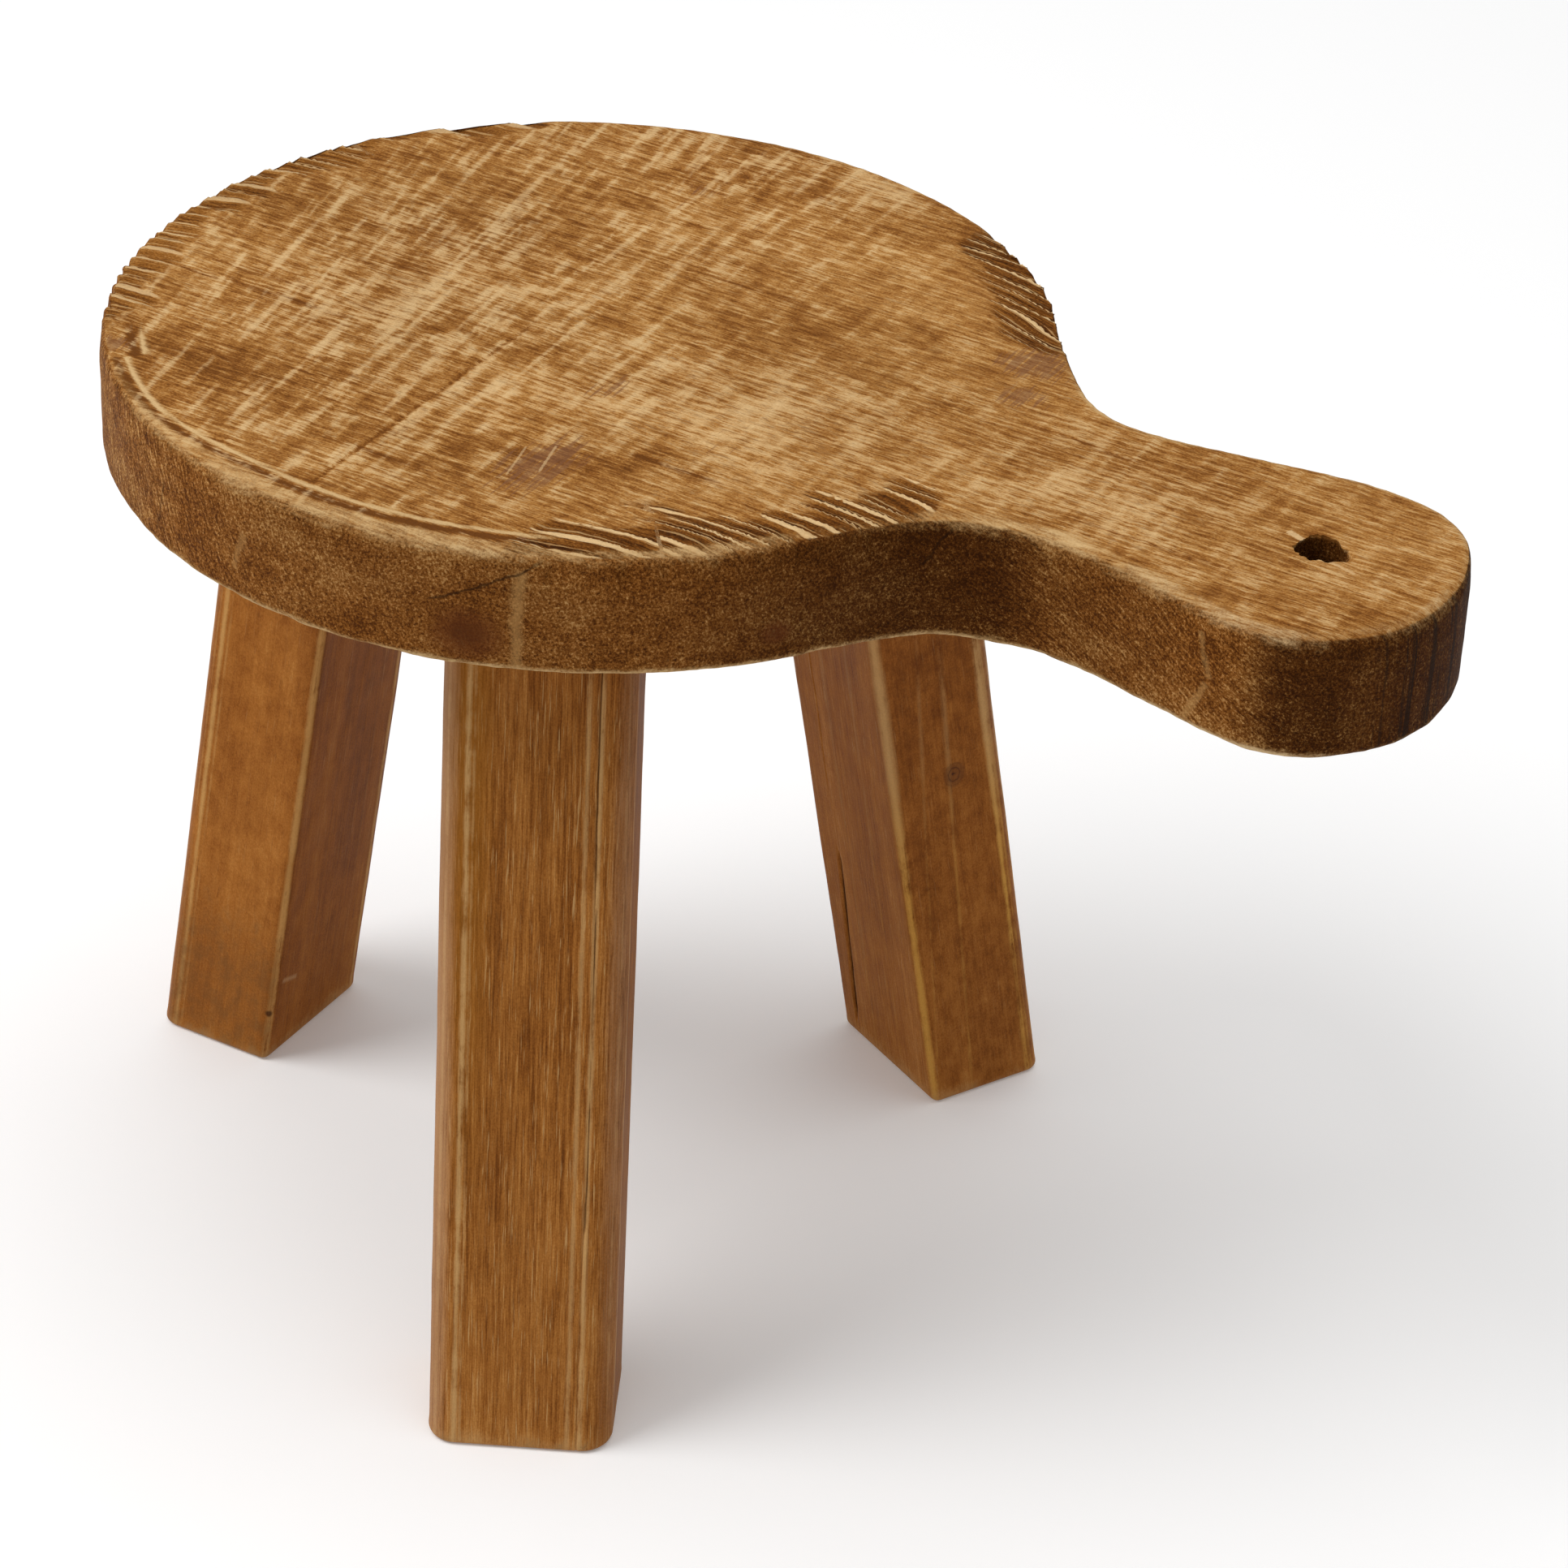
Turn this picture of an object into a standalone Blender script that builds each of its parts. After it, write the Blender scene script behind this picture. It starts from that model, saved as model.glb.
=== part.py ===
"""Three-legged wooden milking stool: a paddle-shaped seat board on three splayed legs.

Blender 4.5, metres, +Z up. The handle points along +X. "Left" and "right" are as seen by someone who
holds the handle and looks at the seat, so the left legs are at -Y and the right ones at +Y. The origin
is on the floor, under the middle of the stool's box. Each leg is held by two glued dowels, which sit in
blind holes in the leg's top and in the underside of the board.
"""

import math

import bmesh
import bpy
from mathutils import Matrix, Vector
from mathutils.geometry import interpolate_bezier

GAP = 0.0003  # between pieces that touch

# Seat board, in plan about the centre of the disc
DISC_HALF_LENGTH = 0.1258
DISC_HALF_WIDTH = 0.1230
DISC_FROM = math.radians(44)
DISC_TO = math.radians(319)
DISC_STEPS = 84
BOARD_THICKNESS = 0.033
SEAT_HEIGHT = 0.2615
BOARD_ARRIS = 0.003
BOARD_ARRIS_STEPS = 2

# The handle's edge from the left flank of the neck, round the end, to the right flank
HANDLE_EDGE = (
    (0.1045, -0.0682),
    (0.1165, -0.0505),
    (0.1280, -0.0386),
    (0.1418, -0.0332),
    (0.1593, -0.0318),
    (0.1843, -0.0368),
    (0.2092, -0.0422),
    (0.2262, -0.0391),
    (0.2401, -0.0261),
    (0.2461, -0.0104),
    (0.2460, 0.0082),
    (0.2384, 0.0275),
    (0.2252, 0.0381),
    (0.2040, 0.0407),
    (0.1755, 0.0366),
    (0.1480, 0.0329),
    (0.1316, 0.0364),
    (0.1182, 0.0488),
    (0.1040, 0.0671),
)
EDGE_STEPS = 5  # between two points of the handle's edge

HANGING_HOLE_AT = (0.2090, 0.0034)
HANGING_HOLE_RADIUS = 0.006
HOLE_SIDES = 32

# Legs: where each meets the board, how it leans, and how its section is turned about its length.
# The section's narrow side is along the lean, and its wide side is across it. Its four corners are worn
# to different radii, from the outer one on the leg's own left, counter-clockwise as seen from above.
LEG_NARROW = 0.038
LEG_WIDE = 0.049
CORNER_STEPS = 5
FOOT_ARRIS = 0.0022
FOOT_ARRIS_STEPS = 3
LEGS = {
    "rear": {"at": 177.3, "radius": 0.0784, "leans": 177.5, "splay": 8.8, "turn": 3.8,
             "corners": (0.0060, 0.0026, 0.0050, 0.0055)},
    "left": {"at": -63.3, "radius": 0.0760, "leans": -60.5, "splay": 10.7, "turn": -1.7,
             "corners": (0.0085, 0.0050, 0.0050, 0.0075)},
    "right": {"at": 57.2, "radius": 0.0789, "leans": 57.8, "splay": 10.3, "turn": 6.0,
              "corners": (0.0055, 0.0035, 0.0026, 0.0055)},
}

# Dowels, two in each leg
DOWEL_RADIUS = 0.005
DOWEL_IN_BOARD = 0.020
DOWEL_IN_LEG = 0.026
DOWEL_SPACING = 0.022
DOWEL_CHAMFER = 0.001
DOWEL_SIDES = 24
SOCKET_END_ROOM = 0.001  # for glue, past each end of a dowel

UNDERSIDE = SEAT_HEIGHT - BOARD_THICKNESS


def clear_scene():
    for obj in list(bpy.data.objects):
        bpy.data.objects.remove(obj, do_unlink=True)


def wood(name, colour, roughness):
    material = bpy.data.materials.new(name)
    material.use_nodes = True
    shader = material.node_tree.nodes["Principled BSDF"]
    shader.inputs["Base Color"].default_value = (*colour, 1)
    shader.inputs["Roughness"].default_value = roughness
    shader.inputs["Metallic"].default_value = 0
    return material


def empty(name, parent, matrix):
    obj = bpy.data.objects.new(name, None)
    obj.empty_display_size = 0.02
    obj.parent = parent
    obj.location = matrix.to_translation()
    obj.rotation_euler = matrix.to_euler()
    bpy.context.collection.objects.link(obj)
    return obj


def solid(name, mesh, parent, material=None):
    """An object made from a bmesh. It is a hidden cutter if it has no material."""
    bmesh.ops.recalc_face_normals(mesh, faces=mesh.faces)
    data = bpy.data.meshes.new(name)
    mesh.to_mesh(data)
    mesh.free()
    data.shade_smooth()
    data.set_sharp_from_angle(angle=math.radians(40))
    obj = bpy.data.objects.new(name, data)
    obj.parent = parent
    bpy.context.collection.objects.link(obj)
    if material:
        data.materials.append(material)
    else:
        obj.hide_render = True
        obj.display_type = "WIRE"
    return obj


def round_edges(obj, width, steps, limit, angle=math.radians(60)):
    bevel = obj.modifiers.new("arris", "BEVEL")
    bevel.width = width
    bevel.segments = steps
    bevel.limit_method = limit
    bevel.angle_limit = angle


def cut(obj, cutter):
    boolean = obj.modifiers.new(cutter.name, "BOOLEAN")
    boolean.operation = "DIFFERENCE"
    boolean.solver = "EXACT"
    boolean.object = cutter


def smooth_path(points, steps):
    """Points along a smooth curve through all but the first and last of these, which only set its ends."""
    path = []
    for before, start, end, after in zip(points, points[1:], points[2:], points[3:]):
        leave = start + (end - before) / 6
        arrive = end - (after - start) / 6
        path += interpolate_bezier(start, leave, arrive, end, steps + 1)[:-1]
    return path


def seat_outline():
    """The board's edge in plan, counter-clockwise: the disc, then the neck and handle."""
    disc = []
    for i in range(DISC_STEPS + 1):
        angle = DISC_FROM + (DISC_TO - DISC_FROM) * i / DISC_STEPS
        x = DISC_HALF_LENGTH * math.cos(angle)
        disc.append(Vector((x, DISC_HALF_WIDTH * math.sin(angle))))
    handle = [Vector(point) for point in HANDLE_EDGE]
    return disc[:-1] + smooth_path([disc[-3], disc[-1], *handle, disc[0], disc[2]], EDGE_STEPS)


def make_seat(stool, material):
    mesh = bmesh.new()
    outline = seat_outline()
    lower = [mesh.verts.new((x, y, UNDERSIDE)) for x, y in outline]
    upper = [mesh.verts.new((x, y, SEAT_HEIGHT)) for x, y in outline]
    mesh.faces.new(lower[::-1])
    mesh.faces.new(upper)
    for i in range(len(outline)):
        mesh.faces.new((lower[i - 1], lower[i], upper[i], upper[i - 1]))
    seat = solid("seat", mesh, stool, material)
    round_edges(seat, BOARD_ARRIS, BOARD_ARRIS_STEPS, "ANGLE")
    return seat


def round_bar(radius, low, high, sides):
    """A bmesh cylinder along Z, between two heights."""
    mesh = bmesh.new()
    middle = Matrix.Translation((0, 0, (low + high) / 2))
    bmesh.ops.create_cone(mesh, cap_ends=True, segments=sides, radius1=radius, radius2=radius,
                          depth=high - low, matrix=middle)
    return mesh


def drill_hanging_hole(seat, stool):
    past = BOARD_THICKNESS / 2
    bar = round_bar(HANGING_HOLE_RADIUS, UNDERSIDE - past, SEAT_HEIGHT + past, HOLE_SIDES)
    drill = solid("hanging_hole", bar, stool)
    drill.location = (*HANGING_HOLE_AT, 0)
    cut(seat, drill)


def leg_section(radii):
    """The leg's rectangular section with rounded corners."""
    section = []
    corners = ((1, 1), (-1, 1), (-1, -1), (1, -1))
    for quarter, (corner, radius) in enumerate(zip(corners, radii)):
        centre = Vector((LEG_NARROW / 2 - radius, LEG_WIDE / 2 - radius)) * Vector(corner)
        for i in range(CORNER_STEPS + 1):
            angle = (quarter + i / CORNER_STEPS) * math.pi / 2
            section.append(centre + radius * Vector((math.cos(angle), math.sin(angle))))
    return section


def leg_frame(place):
    """The frame of a leg: its origin on the board's underside, and its Z up along the leg."""
    at = math.radians(place["at"])
    foot = Vector((place["radius"] * math.cos(at), place["radius"] * math.sin(at), UNDERSIDE))
    lean = Matrix.Rotation(math.radians(place["leans"]), 4, "Z")
    splay = Matrix.Rotation(math.radians(-place["splay"]), 4, "Y")
    turn = Matrix.Rotation(math.radians(place["turn"]), 4, "Z")
    return Matrix.Translation(foot) @ lean @ splay @ turn


def make_leg(name, frame, radii, joint, material):
    """A rectangular bar along the frame's Z, cut level under the board and level on the floor."""
    up = frame.to_3x3().transposed() @ Vector((0, 0, 1))

    def level(point, height):
        return (*point, (height - up.x * point.x - up.y * point.y) / up.z)

    mesh = bmesh.new()
    section = leg_section(radii)
    foot = [mesh.verts.new(level(point, -UNDERSIDE)) for point in section]
    top = [mesh.verts.new(level(point, -GAP)) for point in section]
    sole = mesh.faces.new(foot[::-1])
    mesh.faces.new(top)
    for i in range(len(section)):
        mesh.faces.new((foot[i - 1], foot[i], top[i], top[i - 1]))
    weight = mesh.edges.layers.float.new("bevel_weight_edge")
    for edge in sole.edges:
        edge[weight] = 1
    leg = solid("leg_" + name, mesh, joint, material)
    round_edges(leg, FOOT_ARRIS, FOOT_ARRIS_STEPS, "WEIGHT")
    return leg


def make_dowel(name, side, joint, seat, leg, material):
    """A dowel along the leg, and the holes for it in the board and in the leg."""
    offset = (0, side * DOWEL_SPACING / 2, 0)
    bar = round_bar(DOWEL_RADIUS, -DOWEL_IN_LEG, DOWEL_IN_BOARD, DOWEL_SIDES)
    dowel = solid(name, bar, joint, material)
    dowel.location = offset
    round_edges(dowel, DOWEL_CHAMFER, 1, "ANGLE")
    low = -DOWEL_IN_LEG - SOCKET_END_ROOM
    high = DOWEL_IN_BOARD + SOCKET_END_ROOM
    socket = solid(name + "_socket", round_bar(DOWEL_RADIUS + GAP, low, high, DOWEL_SIDES), joint)
    socket.location = offset
    cut(seat, socket)
    cut(leg, socket)


def centre_on_floor(stool):
    """Moves the stool so that the middle of its box is over the origin."""
    bpy.context.view_layer.update()
    graph = bpy.context.evaluated_depsgraph_get()
    corners = []
    for obj in bpy.data.objects:
        if obj.type == "MESH" and not obj.hide_render:
            evaluated = obj.evaluated_get(graph)
            corners += [evaluated.matrix_world @ vertex.co for vertex in evaluated.data.vertices]
    for axis in (0, 1):
        values = [corner[axis] for corner in corners]
        stool.location[axis] = -(min(values) + max(values)) / 2


def main():
    clear_scene()
    stool = empty("stool", None, Matrix())
    seat_wood = wood("seat_wood", (0.36, 0.18, 0.062), 0.62)
    leg_wood = wood("leg_wood", (0.30, 0.13, 0.042), 0.48)
    dowel_wood = wood("dowel_wood", (0.62, 0.44, 0.25), 0.6)
    seat = make_seat(stool, seat_wood)
    drill_hanging_hole(seat, stool)
    for name, place in LEGS.items():
        frame = leg_frame(place)
        joint = empty("joint_" + name, stool, frame)
        leg = make_leg(name, frame, place["corners"], joint, leg_wood)
        make_dowel(f"dowel_{name}_a", -1, joint, seat, leg, dowel_wood)
        make_dowel(f"dowel_{name}_b", 1, joint, seat, leg, dowel_wood)
    centre_on_floor(stool)


main()
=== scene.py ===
"""Looks of a three-legged wooden milking stool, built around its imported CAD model.

Metres, +Z up, the handle along +X. The seat board and the legs are fine meshes made here, with saw ridges,
torn edges, worn corners and cracks in their shape. The dowels are the CAD model's own.
"""

import math

import bpy
import numpy as np
from mathutils import Matrix, Vector
from mathutils.geometry import delaunay_2d_cdt


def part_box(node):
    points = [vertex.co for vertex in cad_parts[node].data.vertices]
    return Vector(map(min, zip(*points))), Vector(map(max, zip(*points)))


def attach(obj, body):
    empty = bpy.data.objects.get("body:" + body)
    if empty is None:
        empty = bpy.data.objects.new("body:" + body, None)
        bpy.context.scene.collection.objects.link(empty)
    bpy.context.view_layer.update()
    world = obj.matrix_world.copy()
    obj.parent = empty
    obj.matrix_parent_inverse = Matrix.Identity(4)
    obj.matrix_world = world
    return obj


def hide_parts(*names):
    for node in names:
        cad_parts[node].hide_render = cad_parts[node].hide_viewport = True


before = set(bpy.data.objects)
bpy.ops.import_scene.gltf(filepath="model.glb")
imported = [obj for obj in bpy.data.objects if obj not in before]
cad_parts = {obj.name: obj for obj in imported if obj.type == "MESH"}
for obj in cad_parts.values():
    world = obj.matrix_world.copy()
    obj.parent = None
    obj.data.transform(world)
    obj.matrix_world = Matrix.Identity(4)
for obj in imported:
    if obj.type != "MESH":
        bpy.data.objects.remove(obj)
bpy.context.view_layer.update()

MM = 0.001
CREASE = math.radians(55)  # sharper edges are shaded as edges

# Seat board, in plan about the centre of the disc, as in the CAD
DISC_HALF_LENGTH = 0.1258
DISC_HALF_WIDTH = 0.123
DISC_FROM = math.radians(44)
DISC_TO = math.radians(319)
DISC_STEPS = 160
HANDLE_EDGE = (
    (0.1045, -0.0682), (0.1165, -0.0505), (0.1280, -0.0386), (0.1418, -0.0332), (0.1593, -0.0318),
    (0.1843, -0.0368), (0.2092, -0.0422), (0.2262, -0.0391), (0.2401, -0.0261), (0.2461, -0.0104),
    (0.2460, 0.0082), (0.2384, 0.0275), (0.2252, 0.0381), (0.2040, 0.0407), (0.1755, 0.0366),
    (0.1480, 0.0329), (0.1316, 0.0364), (0.1182, 0.0488), (0.1040, 0.0671),
)
EDGE_STEPS = 12
HOLE_AT = (0.209, 0.0034)
HOLE_RADIUS = 0.006

# Legs and the dowels' holes, as in the CAD
LEG_NARROW = 0.038
LEG_WIDE = 0.049
FOOT_ARRIS = 0.0022
LEGS = {
    "rear": {"at": 177.3, "radius": 0.0784, "leans": 177.5, "splay": 8.8, "turn": 3.8,
             "corners": (0.006, 0.0026, 0.005, 0.0055)},
    "left": {"at": -63.3, "radius": 0.076, "leans": -60.5, "splay": 10.7, "turn": -1.7,
             "corners": (0.0085, 0.005, 0.005, 0.0075)},
    "right": {"at": 57.2, "radius": 0.0789, "leans": 57.8, "splay": 10.3, "turn": 6.0,
              "corners": (0.0055, 0.0035, 0.0026, 0.0055)},
}
CORNERS = ((1, 1), (-1, 1), (-1, -1), (1, -1))
GAP = 0.0003
SOCKET_RADIUS = 0.0053
SOCKET_OFFSET = 0.011
SOCKET_IN_BOARD = 0.021
SOCKET_IN_LEG = 0.027
SOCKET_SIDES = 24

seat_low, seat_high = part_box("seat")
UNDER, TOP = seat_low.z, seat_high.z


# ---------------------------------------------------------------- numbers

def smooth(low, high, value):
    t = np.clip((value - low) / (high - low), 0, 1)
    return t * t * (3 - 2 * t)


def band(value, middle, half):
    """1 at the middle, and 0 from half away."""
    return smooth(0, 1, 1 - np.abs(value - middle) / half)


def lattice(x, y, seed):
    """Smooth noise from 0 to 1 whose features are 1 across."""
    table = np.random.default_rng(seed).random((251, 257))
    i, j = np.floor(x).astype(int), np.floor(y).astype(int)
    u, v = smooth(0, 1, x - i), smooth(0, 1, y - j)
    i, j, i2, j2 = i % 251, j % 257, (i + 1) % 251, (j + 1) % 257
    low = table[i, j] * (1 - u) + table[i2, j] * u
    high = table[i, j2] * (1 - u) + table[i2, j2] * u
    return low * (1 - v) + high * v


def layered(x, y, seed):
    """Smooth noise in three layers, each about twice as fine and half as strong as the one before."""
    coarse, finer = lattice(x, y, seed) * 4, lattice(x * 2.1, y * 2.1, seed + 1) * 2
    return (coarse + finer + lattice(x * 4.3, y * 4.3, seed + 2)) / 7


def per_index(index, seed):
    """A fixed random number from 0 to 1 for each whole number."""
    return np.random.default_rng(seed).random(997)[np.asarray(index).astype(int) % 997]


def circle(sides):
    """Points on the unit circle."""
    turn = np.arange(sides) / sides * 2 * np.pi
    return np.stack([np.cos(turn), np.sin(turn)], axis=1)


def padded(values, count, rest=0.0):
    """These values, and then the rest up to a count."""
    full = np.full((count, *values.shape[1:]), rest)
    full[:len(values)] = values
    return full


def at_height(points, height):
    return np.column_stack([points, np.full(len(points), height)])


def grid(low, high, step_x, step_y):
    xs = np.arange(low[0], high[0], step_x)
    ys = np.arange(low[1], high[1], step_y)
    x, y = np.meshgrid(xs, ys)
    x = x + (np.arange(len(ys)) % 2)[:, None] * step_x / 2
    return np.stack([x.ravel(), y.ravel()], axis=1)


def nearest(points, loop):
    """Each point's distance to the closest point of a loop."""
    far = np.empty(len(points))
    for i in range(0, len(points), 2000):
        some = points[i:i + 2000]
        far[i:i + 2000] = np.sqrt(((some[:, None] - loop[None]) ** 2).sum(axis=2).min(axis=1))
    return far


def winding(points, loop):
    """True for the points inside a closed loop."""
    ends = np.roll(loop, -1, axis=0)
    inside = np.zeros(len(points), bool)
    for (x1, y1), (x2, y2) in zip(loop, ends):
        if y1 == y2:
            continue
        crosses = (points[:, 1] >= min(y1, y2)) & (points[:, 1] < max(y1, y2))
        inside ^= crosses & (points[:, 0] < x1 + (points[:, 1] - y1) * (x2 - x1) / (y2 - y1))
    return inside


# ---------------------------------------------------------------- meshes

class Shell:
    """A mesh under construction, with marks on its vertices."""

    def __init__(self, *marks):
        self.points = []
        self.marks = {mark: [] for mark in marks}
        self.faces = []
        self.count = 0

    def add(self, points, **marks):
        """Adds vertices, and gives their indices."""
        points = np.asarray(points, float)
        self.points.append(points)
        for mark, values in self.marks.items():
            values.append(np.broadcast_to(np.asarray(marks.get(mark, 0), float), len(points)))
        self.count += len(points)
        return np.arange(self.count - len(points), self.count)

    def join(self, rings, flip=False):
        """Quads between each closed loop of vertices and the next. They face the other way if flipped."""
        for first, second in zip(rings, rings[1:]):
            if flip:
                first, second = second, first
            quads = np.stack([first, np.roll(first, -1), np.roll(second, -1), second], axis=1)
            self.faces += quads.tolist()

    def fill(self, loops, inside, height, up, **marks):
        """Triangles of a level region: its outer loop, its holes, and free points inside, added here."""
        known = np.concatenate([self.array()[loop][:, :2] for loop in loops])
        index = np.concatenate([*loops, self.add(at_height(inside, height), **marks)])
        spots = np.concatenate([known, inside])
        edges, start = [], 0
        for loop in loops:
            n = len(loop)
            edges += [(start + i, start + (i + 1) % n) for i in range(n)]
            start += n
        flat = [Vector(spot) for spot in spots.tolist()]
        _, _, triangles, source, _, _ = delaunay_2d_cdt(flat, edges, [], 2, 1e-9)
        corners = np.array([ids[0] for ids in source])[np.array(triangles)]
        middles = spots[corners].mean(axis=1)
        in_hole = np.zeros(len(corners), bool)
        start = len(loops[0])
        for loop in loops[1:]:
            end = start + len(loop)
            across = np.flatnonzero(((corners >= start) & (corners < end)).all(axis=1))
            in_hole[across] |= winding(middles[across], known[start:end])
            start = end
        corners = index[corners[~in_hole]]
        self.faces += (corners if up else corners[:, ::-1]).tolist()

    def array(self):
        return np.concatenate(self.points)

    def mark(self, name):
        return np.concatenate(self.marks[name])


def piece(name, shell, points, material, node, marks):
    """The shell's mesh at these points, with marks: a number or a vector for each vertex."""
    mesh = bpy.data.meshes.new(name)
    mesh.from_pydata(points.tolist(), [], shell.faces)
    mesh.update()
    for key, values in marks.items():
        kind, field = ("FLOAT", "value") if np.ndim(values) == 1 else ("FLOAT_VECTOR", "vector")
        layer = mesh.attributes.new(key, kind, "POINT")
        layer.data.foreach_set(field, np.asarray(values, np.float32).ravel())
    mesh.shade_smooth()
    mesh.set_sharp_from_angle(angle=CREASE)
    mesh.materials.append(material)
    obj = bpy.data.objects.new(name, mesh)
    bpy.context.scene.collection.objects.link(obj)
    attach(obj, "root")
    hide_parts(node)


def leg_frame(place, centre):
    """A leg's frame: its origin on the board's underside, and its Z up along the leg."""
    at, radius = math.radians(place["at"]), place["radius"]
    top = Vector((radius * math.cos(at) + centre[0], radius * math.sin(at) + centre[1], UNDER))
    lean = Matrix.Rotation(math.radians(place["leans"]), 4, "Z")
    splay = Matrix.Rotation(math.radians(-place["splay"]), 4, "Y")
    turn = Matrix.Rotation(math.radians(place["turn"]), 4, "Z")
    return np.array(Matrix.Translation(top) @ lean @ splay @ turn)


def level(matrix, points, height):
    """Local points (x, y) moved along the leg to a world height, in world coordinates."""
    local = np.column_stack([points, np.zeros(len(points)), np.ones(len(points))])
    world = local @ matrix.T
    axis = matrix[:3, 2]
    return world[:, :3] + ((height - world[:, 2]) / axis[2])[:, None] * axis


def add_sockets(shell, matrix, height, end, **marks):
    """The dowels' blind holes, from a level face to an end on the leg's Z. Returns their mouths."""
    mouths = []
    for side in (-1, 1):
        ring = SOCKET_RADIUS * circle(SOCKET_SIDES) + (0, side * SOCKET_OFFSET)
        local = np.column_stack([at_height(ring, end), np.ones(SOCKET_SIDES)])
        bottom = (local @ matrix.T)[:, :3]
        first, last = shell.add(level(matrix, ring, height), **marks), shell.add(bottom, **marks)
        middle = np.full(SOCKET_SIDES, shell.add(bottom.mean(axis=0)[None], **marks)[0])
        walls = np.stack([first, last, np.roll(last, -1), np.roll(first, -1)], axis=1)
        ends = np.stack([last, middle, np.roll(last, -1)], axis=1)
        if end < 0:
            walls, ends = walls[:, [0, 3, 2, 1]], ends[:, [0, 2, 1]]
        shell.faces += walls.tolist() + ends.tolist()
        mouths.append(first)
    return mouths


# ---------------------------------------------------------------- material nodes

class Look(dict):
    """A Principled material, short ways to add nodes to it, and its values by name."""

    def __init__(self, name):
        self.material = bpy.data.materials.new(name)
        self.material.use_nodes = True
        self.tree = self.material.node_tree
        self.shader = self.tree.nodes["Principled BSDF"]

    def plug(self, socket, value):
        if isinstance(value, bpy.types.NodeSocket):
            self.tree.links.new(value, socket)
        elif hasattr(value, "__len__") and len(value) == 3 and socket.type == "RGBA":
            socket.default_value = (*value, 1)
        else:
            socket.default_value = value

    def node(self, kind, inputs=(), **settings):
        """A new node with these settings, and these inputs by index or name."""
        node = self.tree.nodes.new(kind)
        for key, value in settings.items():
            setattr(node, key, value)
        for key, value in inputs.items() if isinstance(inputs, dict) else enumerate(inputs):
            self.plug(node.inputs[key], value)
        return node

    def calc(self, operation, *values):
        return self.node("ShaderNodeMath", values, operation=operation).outputs[0]

    def times(self, first, second):
        return self.calc("MULTIPLY", first, second)

    def total(self, start, *terms, **weights):
        """The start, plus (value, weight) terms, plus named values times their weights."""
        for value, weight in (*terms, *((self[name], weight) for name, weight in weights.items())):
            start = self.calc("MULTIPLY_ADD", value, weight, start)
        return start

    def step(self, value, low, high):
        """From 0 at low to 1 at high, which may be the smaller."""
        inputs = (value, low, high, 0.0, 1.0)
        return self.node("ShaderNodeMapRange", inputs, interpolation_type="SMOOTHSTEP").outputs[0]

    def rise(self, low, high, *terms, **weights):
        """From 0 to 1 as the total of these terms goes from low to high."""
        return self.step(self.total(0.0, *terms, **weights), low, high)

    def place(self):
        """The place on the object, and its axes, by name."""
        self["at"] = self.node("ShaderNodeTexCoord").outputs["Object"]
        self["x"], self["y"], self["z"] = self.axes(self["at"])

    def read(self, output, *marks):
        """The mesh's marks by name: numbers ("Fac") or vectors ("Vector")."""
        for name in marks:
            self[name] = self.node("ShaderNodeAttribute", attribute_name=name).outputs[output]

    def noise(self, vector, per_metre, detail, roughness):
        """Noise about 0, with this many features per metre on each axis."""
        stretched = self.node("ShaderNodeVectorMath", (vector, per_metre), operation="MULTIPLY").outputs[0]
        inputs = {"Vector": stretched, "Scale": 1.0, "Detail": detail, "Roughness": roughness}
        return self.calc("SUBTRACT", self.node("ShaderNodeTexNoise", inputs).outputs[0], 0.5)

    def noises(self, table):
        """Noises by name, from a table of what each follows and its settings."""
        for name, (vector, *settings) in table.items():
            self[name] = self.noise(self[vector], *settings)

    def axes(self, vector):
        return self.node("ShaderNodeSeparateXYZ", (vector,)).outputs

    def combine(self, x, y):
        return self.node("ShaderNodeCombineXYZ", (x, y)).outputs[0]

    def distance(self, first, second):
        return self.node("ShaderNodeVectorMath", (first, second), operation="DISTANCE").outputs["Value"]

    def mix(self, factor, first, second):
        return self.node("ShaderNodeMix", {0: factor, 6: first, 7: second}, data_type="RGBA").outputs[2]

    def paint(self, colour, cover, most, tint):
        """The colour under a tint, which hides this much of it at most where the cover is 1."""
        return self.mix(self.times(cover, most), colour, tint)

    def shade(self, factor, colour):
        """The colour multiplied by a number."""
        return self.node("ShaderNodeVectorMath", {0: colour, 3: factor}, operation="SCALE").outputs[0]

    def ramp(self, value, *stops):
        """A colour from (position, red, green, blue) stops."""
        node = self.node("ShaderNodeValToRGB", (value,))
        elements = node.color_ramp.elements
        while len(elements) < len(stops):
            elements.new(0.5)
        for element, (position, *colour) in zip(elements, stops):
            element.position = position
            element.color = (*colour, 1)
        return node.outputs[0]

    def stroke(self, u, v, start, stop, half):
        """1 along a straight line between two (u, v) places, and 0 from half away."""
        span_u, span_v = stop[0] - start[0], stop[1] - start[1]
        length = math.hypot(span_u, span_v)
        du, dv = self.calc("SUBTRACT", u, start[0]), self.calc("SUBTRACT", v, start[1])
        along = self.total(0.0, (du, span_u / length**2), (dv, span_v / length**2))
        off = self.calc("ABSOLUTE", self.total(0.0, (du, span_v / length), (dv, -span_u / length)))
        ends = self.times(self.step(along, 0.0, 0.1), self.step(along, 1.0, 0.9))
        return self.times(self.step(off, half, 0.0), ends)

    def finish(self, colour, rough, height, relief, specular):
        """The colour, roughness and bump, whose relief is in metres, in the finished material."""
        bump = self.node("ShaderNodeBump", {"Strength": 1.0, "Distance": relief, "Height": height})
        inputs = {"Base Color": colour, "Roughness": rough, "Specular IOR Level": specular}
        for name, value in {**inputs, "Normal": bump.outputs[0]}.items():
            self.plug(self.shader.inputs[name], value)
        return self.material


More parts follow.
